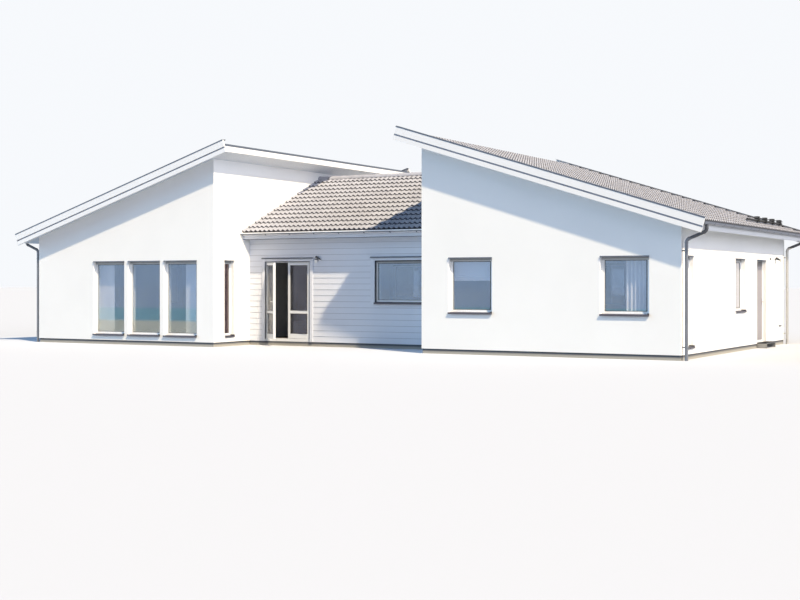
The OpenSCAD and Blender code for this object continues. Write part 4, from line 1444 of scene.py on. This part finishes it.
@dataclass
class Curtains(Part):
    """Curtains and a folded blind that hang behind the panes."""

    behind: float = 0.10
    above: float = 0.03
    blind_share: float = 0.39
    loose_fold: Range = (0.28, 0.004)
    pleat: Range = (0.108, 0.042)

    def sheet(self, name: str, outline: list[Vec], way: Vec, rows: int, held: str) -> Object:
        """Draws an outline out into a sheet of cloth.

        Args:
            name: The piece's name.
            outline: Points along one edge.
            way: From that edge to the one across from it.
            rows: How many strips the sheet has.
            held: How it is held; not used.

        Returns:
            The piece.
        """
        mesh = bmesh.new()
        along = mesh.verts.layers.float.new("along")
        points = [mesh.verts.new(point) for point in outline]
        for before, point in zip(points, points[1:]):
            point[along] = before[along] + (point.co - before.co).length
        edges = [mesh.edges.new(pair) for pair in zip(points, points[1:])]
        for _ in range(rows):
            made = bmesh.ops.extrude_edge_only(mesh, edges=edges)["geom"]
            moved = {item for item in made if isinstance(item, BMVert)}
            edges = [item for item in made if isinstance(item, BMEdge) and set(item.verts) <= moved]
            bmesh.ops.translate(mesh, vec=Vector(way) / rows, verts=list(moved))
        flat = mesh.loops.layers.uv.new("flat")
        start, out = Vector(outline[0]), Vector(way).normalized()
        for loop in (loop for face in mesh.faces for loop in face.loops):
            loop[flat].uv = (loop.vert[along], (loop.vert.co - start).dot(out))
        bmesh.ops.recalc_face_normals(mesh, faces=mesh.faces[:])
        made = settle(finished(mesh, name), name, self.palette["cloth"], smooth=60)
        return made

    def curtain(self, name: str, pane: Box, start: float, end: float, fold: Range) -> Object:
        """Hangs a curtain in even folds behind part of a front pane.

        Args:
            name: The piece's name.
            pane: The pane's corners.
            start: Where it starts, as a share of the pane's width.
            end: Where it ends.
            fold: A fold's width, and half its depth.

        Returns:
            The piece.
        """
        a, b = pane
        x0, x1 = (a.x + share * (b.x - a.x) for share in (start, end))
        folds = max(1, round((x1 - x0) / fold[0]))
        count = folds * 8
        foot, top = a.z - self.above, b.z + self.above
        middle = b.y + self.behind
        outline = [
            (x0 + (x1 - x0) * i / count, middle + fold[1] * math.cos(math.tau * folds * i / count), foot)
            for i in range(count + 1)
        ]
        return self.sheet(name, outline, (0, 0, top - foot), 6, "gathered")

    def blind(self, pane: Box) -> Object:
        """Hangs a folded blind over the upper part of a pane, with folds at its foot.

        Args:
            pane: The pane's corners.

        Returns:
            The piece.
        """
        a, b = pane
        x, y = a.x - 0.02, b.y + 0.05
        foot = b.z - self.blind_share * (b.z - a.z)
        side = [(x, y, b.z + self.above), (x, y, foot + 0.20)]
        for i in range(4):
            z = foot + 0.15 - i * 0.045
            side += [(x, y - 0.016, z), (x, y - 0.004, z - 0.030)]
        side.append((x, y + 0.004, foot))
        return self.sheet("window_blind", side, (b.x - a.x + 0.04, 0, 0), 4, "hung")

    def build(self) -> list[Object]:
        """Hangs the curtains that the front windows show.

        Returns:
            The pieces.
        """
        glass = shells("window_glass")
        panes = [(a, b) for a, b in glass if abs(a.y - SIZES.y_front) < 0.4 and b.x - a.x > 0.5]
        return [
            self.curtain("curtain_left", panes[0], -0.06, 0.50, self.loose_fold),
            self.curtain("curtain_right", panes[2], 0.50, 1.02, self.loose_fold),
            self.blind(panes[3]),
            self.curtain("curtain_pleated", panes[4], 0.44, 1.02, self.pleat),
        ]


@dataclass
class RainGoods(Part):
    """Beads, lips and straps of the gutters, a painted shadow strip under the middle gutters' lips, and the
    dark strip at the foot of the fascias, a drip edge with painted shade.
    """

    strap_gap: float = 0.8
    strap: float = 0.003
    strap_width: float = 0.03
    bead_size: Range = (0.0095, -0.004)
    lip_size: Range = (0.017, 0.012)
    beads: Piece = field(default_factory=lambda: Piece("gutter_edges_and_shade"))
    lips: Piece = field(default_factory=lambda: Piece("gutter_lips"))
    straps: Piece = field(default_factory=lambda: Piece("gutter_straps"))

    def gutter(self, a: Vector, b: Vector) -> None:
        """Rolls a bead along a gutter's outer edge, lays a painted shadow strip under it where the gutter
        runs along x, and hangs the gutter in straps.

        Args:
            a: The gutter's lowest corner.
            b: Its highest corner.
        """
        along = 0 if b.x - a.x > b.y - a.y else 1
        across = 1 - along
        radius = (b[across] - a[across]) / 2
        outer = -1 if a[across] + b[across] < 0 else 1
        way, side = Vector((0, 0, 0)), Vector((0, 0, 0))
        way[along], side[across] = 1, outer
        start = (a + b) / 2
        start[along], start.z = a[along], b.z
        length = b[along] - a[along]
        thick, reach = self.bead_size if along else self.lip_size
        edge = start + side * (radius + reach) - Vector((0, 0, thick * 0.4))
        bead = self.beads if along else self.lips
        bead.turned([(0, 0), (0, thick), (length, thick), (length, 0)], edge, way, side, math.tau, 10)
        # Under the lip of a gutter that runs along x: a dark strip, painted shadow of the lip.
        if along == 0:
            face, foot = b.y if outer > 0 else a.y, edge.z - thick
            y0, y1 = sorted((face - outer * 0.006, face + outer * 0.004))
            self.beads.bar((a.x, y0, foot - 0.020), (b.x, y1, foot + 0.004))
        count = round(length / self.strap_gap)
        turn = math.pi * (1 if way.cross(side).z < 0 else -1)
        rim, width = radius + self.strap, self.strap_width
        strap = [(0, radius), (width, radius), (width, rim), (0, rim)]
        for i in range(count + 1):
            place = start + way * (0.02 + (length - 0.07) * i / count)
            self.straps.turned(strap, place, way, side, turn, 12)

    def build(self) -> list[Object]:
        """Dresses every gutter.

        Returns:
            The beads with the painted shade strips, the lips and the straps.
        """
        for a, b in shells("gutters"):
            self.gutter(a, b)
        # A dark strip at each middle fascia's foot: a drip edge, and painted shade.
        for a, b in shells("middle_fascias"):
            outer = -1 if a.y < 0 else 1
            face = a.y if outer < 0 else b.y
            y0, y1 = sorted((face, face + outer * 0.004))
            self.beads.bar((a.x, y0, a.z), (b.x, y1, a.z + 0.016))
        return [
            self.beads.object(self.palette["graphite_bead"], "graphite_sheet", smooth=40, merge=True),
            self.lips.object(self.palette["pale_bead"], "graphite_sheet", smooth=40, merge=True),
            self.straps.object(self.palette["graphite_sheet"], "graphite_sheet", smooth=40),
        ]


@dataclass
class Fittings(Part):
    """Small fittings on the walls, the snow guard's blocks and the entrance step's grating."""

    socket_y: float = 4.28
    socket_z: float = 0.53
    blocks: int = 4
    block_gap: float = 0.813
    long_bars: int = 5
    cross_bars: int = 22

    def socket(self) -> Object:
        """Sets a small weatherproof box low on the wall behind the entrance.

        Returns:
            The piece.
        """
        piece = Piece("wall_socket")
        x, y, z = SIZES.x_right, self.socket_y, self.socket_z
        piece.bar((x, y - 0.080, z - 0.022), (x + 0.035, y + 0.080, z + 0.022), 0.004)
        for lid in (y - 0.040, y + 0.040):
            piece.bar((x + 0.035, lid - 0.034, z - 0.018), (x + 0.042, lid + 0.034, z + 0.018), 0.003)
        return piece.object(self.palette["zinc_pipe"], "zinc_pipe")

    def grating(self) -> Object:
        """Lays bars on the entrance step's plate, under its top edge.

        Returns:
            The piece.
        """
        (x0, y0, _), (x1, y1, z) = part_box("entry_step")
        piece = Piece("step_grating")
        for i in range(self.cross_bars):
            y = y0 + 0.02 + (y1 - y0 - 0.04) * i / (self.cross_bars - 1)
            piece.bar((x0 + 0.012, y - 0.002, z), (x1 - 0.012, y + 0.002, z + 0.003))
        for i in range(self.long_bars):
            x = x0 + 0.02 + (x1 - x0 - 0.04) * i / (self.long_bars - 1)
            piece.bar((x - 0.0015, y0 + 0.012, z), (x + 0.0015, y1 - 0.012, z + 0.0025))
        return piece.object(self.palette["black_steel"], "black_steel")

    def guard_blocks(self) -> Object:
        """Bolts a block to each bracket of the snow guard, and a rail along their feet.

        Returns:
            The piece.
        """
        (x0, y0, z0), (x1, y1, z1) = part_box("snow_guard")
        piece = Piece("guard_blocks")
        for i in range(self.blocks):
            y = y1 - 0.230 - self.block_gap * i
            piece.bar((x0 + 0.004, y - 0.070, z0 + 0.020), (x1 - 0.020, y + 0.070, z1 + 0.016), 0.004)
        piece.bar((x0 + 0.050, y0, z0 + 0.030), (x0 + 0.085, y1, z0 + 0.058), 0.003)
        return piece.object(self.palette["rubber"], "black_steel")


@dataclass(frozen=True)
class Lamp:
    """A distant lamp: its strength, colour, width in degrees, the way to it and what it lights."""

    name: str
    energy: float
    colour: Colour
    width: float
    way: Vec
    walls: tuple[str, ...] = ()
    state: str = "INCLUDE"


SIDE_WALLS = ("left_rear_wall", "right_rear_wall") + tuple(
    f"{wall}_{part}" for wall in ("right_outer_wall", "left_inner_wall") for part in ("front", "rear", "head")
)
FRONT_WALLS = ("left_front_wall", "right_front_wall")
SUN, SUN_WIDTH, SOFT_WIDTH = (1.0, 0.835, 0.585), 1.6, 40.0

LAMPS = (
    Lamp("key_light", 5.45, SUN, SUN_WIDTH, (0.558, -0.319, 0.766), SIDE_WALLS, "EXCLUDE"),
    Lamp("side_light", 4.27, SUN, SUN_WIDTH, (0.713, -0.408, 0.570), SIDE_WALLS),
    Lamp("corner_light", 3.9, SUN, SUN_WIDTH, (0.775, 0.10, 0.62), FRONT_WALLS),
    Lamp("left_light", 2.5, (0.44, 0.71, 1.0), SOFT_WIDTH, (-0.92, -0.30, 0.25)),
    Lamp("right_light", 1.6, (0.92, 0.92, 1.0), SOFT_WIDTH, (0.92, -0.30, 0.25)),
)


@dataclass
class Studio:
    """Floor, lights and camera."""

    floor_size: float = 400.0
    floor_light: Colour = (0.25, 0.28, 0.33)
    floor_seen: Colour = (0.575, 0.60, 0.66)
    sky_light: Colour = (0.12, 0.19, 0.32)
    sky_seen: Colour = (0.93, 0.95, 0.98)
    eye: Vec = (18.722, -33.631, 1.734)
    turn: float = math.radians(29.374)
    lens: float = 59.58
    shift: float = -0.021

    def floor(self) -> Object:
        """Lays a wide pale floor that shows near white and keeps the house's shadow.

        Returns:
            The floor.
        """
        mesh = bmesh.new()
        bmesh.ops.create_grid(mesh, x_segments=1, y_segments=1, size=self.floor_size)
        made = bpy.data.objects.new("studio_floor", finished(mesh, "studio_floor"))
        bpy.context.scene.collection.objects.link(made)
        shader = Shader("studio_floor")
        shader.coat(Base_Color=self.floor_light, Roughness=0.95, Specular_IOR_Level=0.0)
        seen = shader.node("ShaderNodeBsdfDiffuse", None, {"Color": self.floor_seen})
        shader.part(shader.output, shader.surface, seen)
        made.data.materials.append(shader.material)
        return made

    def lights(self) -> None:
        """Sets the sun at the front right and a wide soft light at each side.

        The photograph's sun stands lower for the walls that face right, so they have one of their own.
        """
        for lamp in LAMPS:
            data = bpy.data.lights.new(lamp.name, "SUN")
            data.energy, data.color, data.angle = lamp.energy, lamp.colour, math.radians(lamp.width)
            made = bpy.data.objects.new(lamp.name, data)
            made.rotation_euler = Vector(lamp.way).to_track_quat("Z", "Y").to_euler()
            bpy.context.scene.collection.objects.link(made)
            if lamp.walls:
                walls = bpy.data.collections.new(lamp.name)
                for wall in lamp.walls:
                    walls.objects.link(bpy.data.objects[wall])
                for linked in walls.collection_objects:
                    linked.light_linking.link_state = lamp.state
                made.light_linking.receiver_collection = walls

    def world(self) -> None:
        """Lights the shade with a sky that is white to the camera."""
        world = bpy.data.worlds.new("studio_sky")
        bpy.context.scene.world = world
        world.use_nodes = True
        tree = Tree(world.node_tree)
        sky, white = (
            tree.node("ShaderNodeBackground", None, {"Color": colour})
            for colour in (self.sky_light, self.sky_seen)
        )
        tree.part(tree.node("ShaderNodeOutputWorld"), sky, white)

    def camera(self) -> None:
        """Stands the camera where the photograph was taken."""
        data = bpy.data.cameras.new("view")
        data.lens, data.sensor_width, data.sensor_fit = self.lens, 36.0, "HORIZONTAL"
        data.shift_y, data.clip_end = self.shift, 600
        made = bpy.data.objects.new("view", data)
        made.location = self.eye
        made.rotation_euler = (math.radians(90), 0, self.turn)
        bpy.context.scene.collection.objects.link(made)
        bpy.context.scene.camera = made


def main() -> None:
    """Builds the scene, piece by piece."""
    logging.basicConfig(level=logging.INFO, format="%(message)s")
    bpy.context.scene.view_settings.view_transform = "Standard"
    studio = Studio()
    studio.camera()
    studio.floor()
    studio.lights()
    studio.world()
    palette = Palette()
    palette.dress(frame["nodes"])
    roofs, seals, fittings = Roofs(palette), Seals(palette), Fittings(palette)
    pieces = [
        roofs.wing(-1, "left_tiles"), roofs.wing(1, "right_tiles"), roofs.middle(), roofs.ridge(),
        roofs.combs(), *roofs.verges(), LapBoards(palette).build(),
        seals.gaskets(), seals.frame_seals_and_shade(), *seals.sill_ends(),
        seals.leaf_gaskets("patio_left_glass", Body.LEFT_LEAF),
        seals.leaf_gaskets("patio_right_glass", Body.RIGHT_LEAF),
        *Curtains(palette).build(), *RainGoods(palette).build(),
        fittings.socket(), fittings.grating(), fittings.guard_blocks(),
    ]
    for piece in pieces:
        LOG.info("%s: %d faces", piece.name, len(piece.data.polygons))


if __name__ == "__main__":
    main()
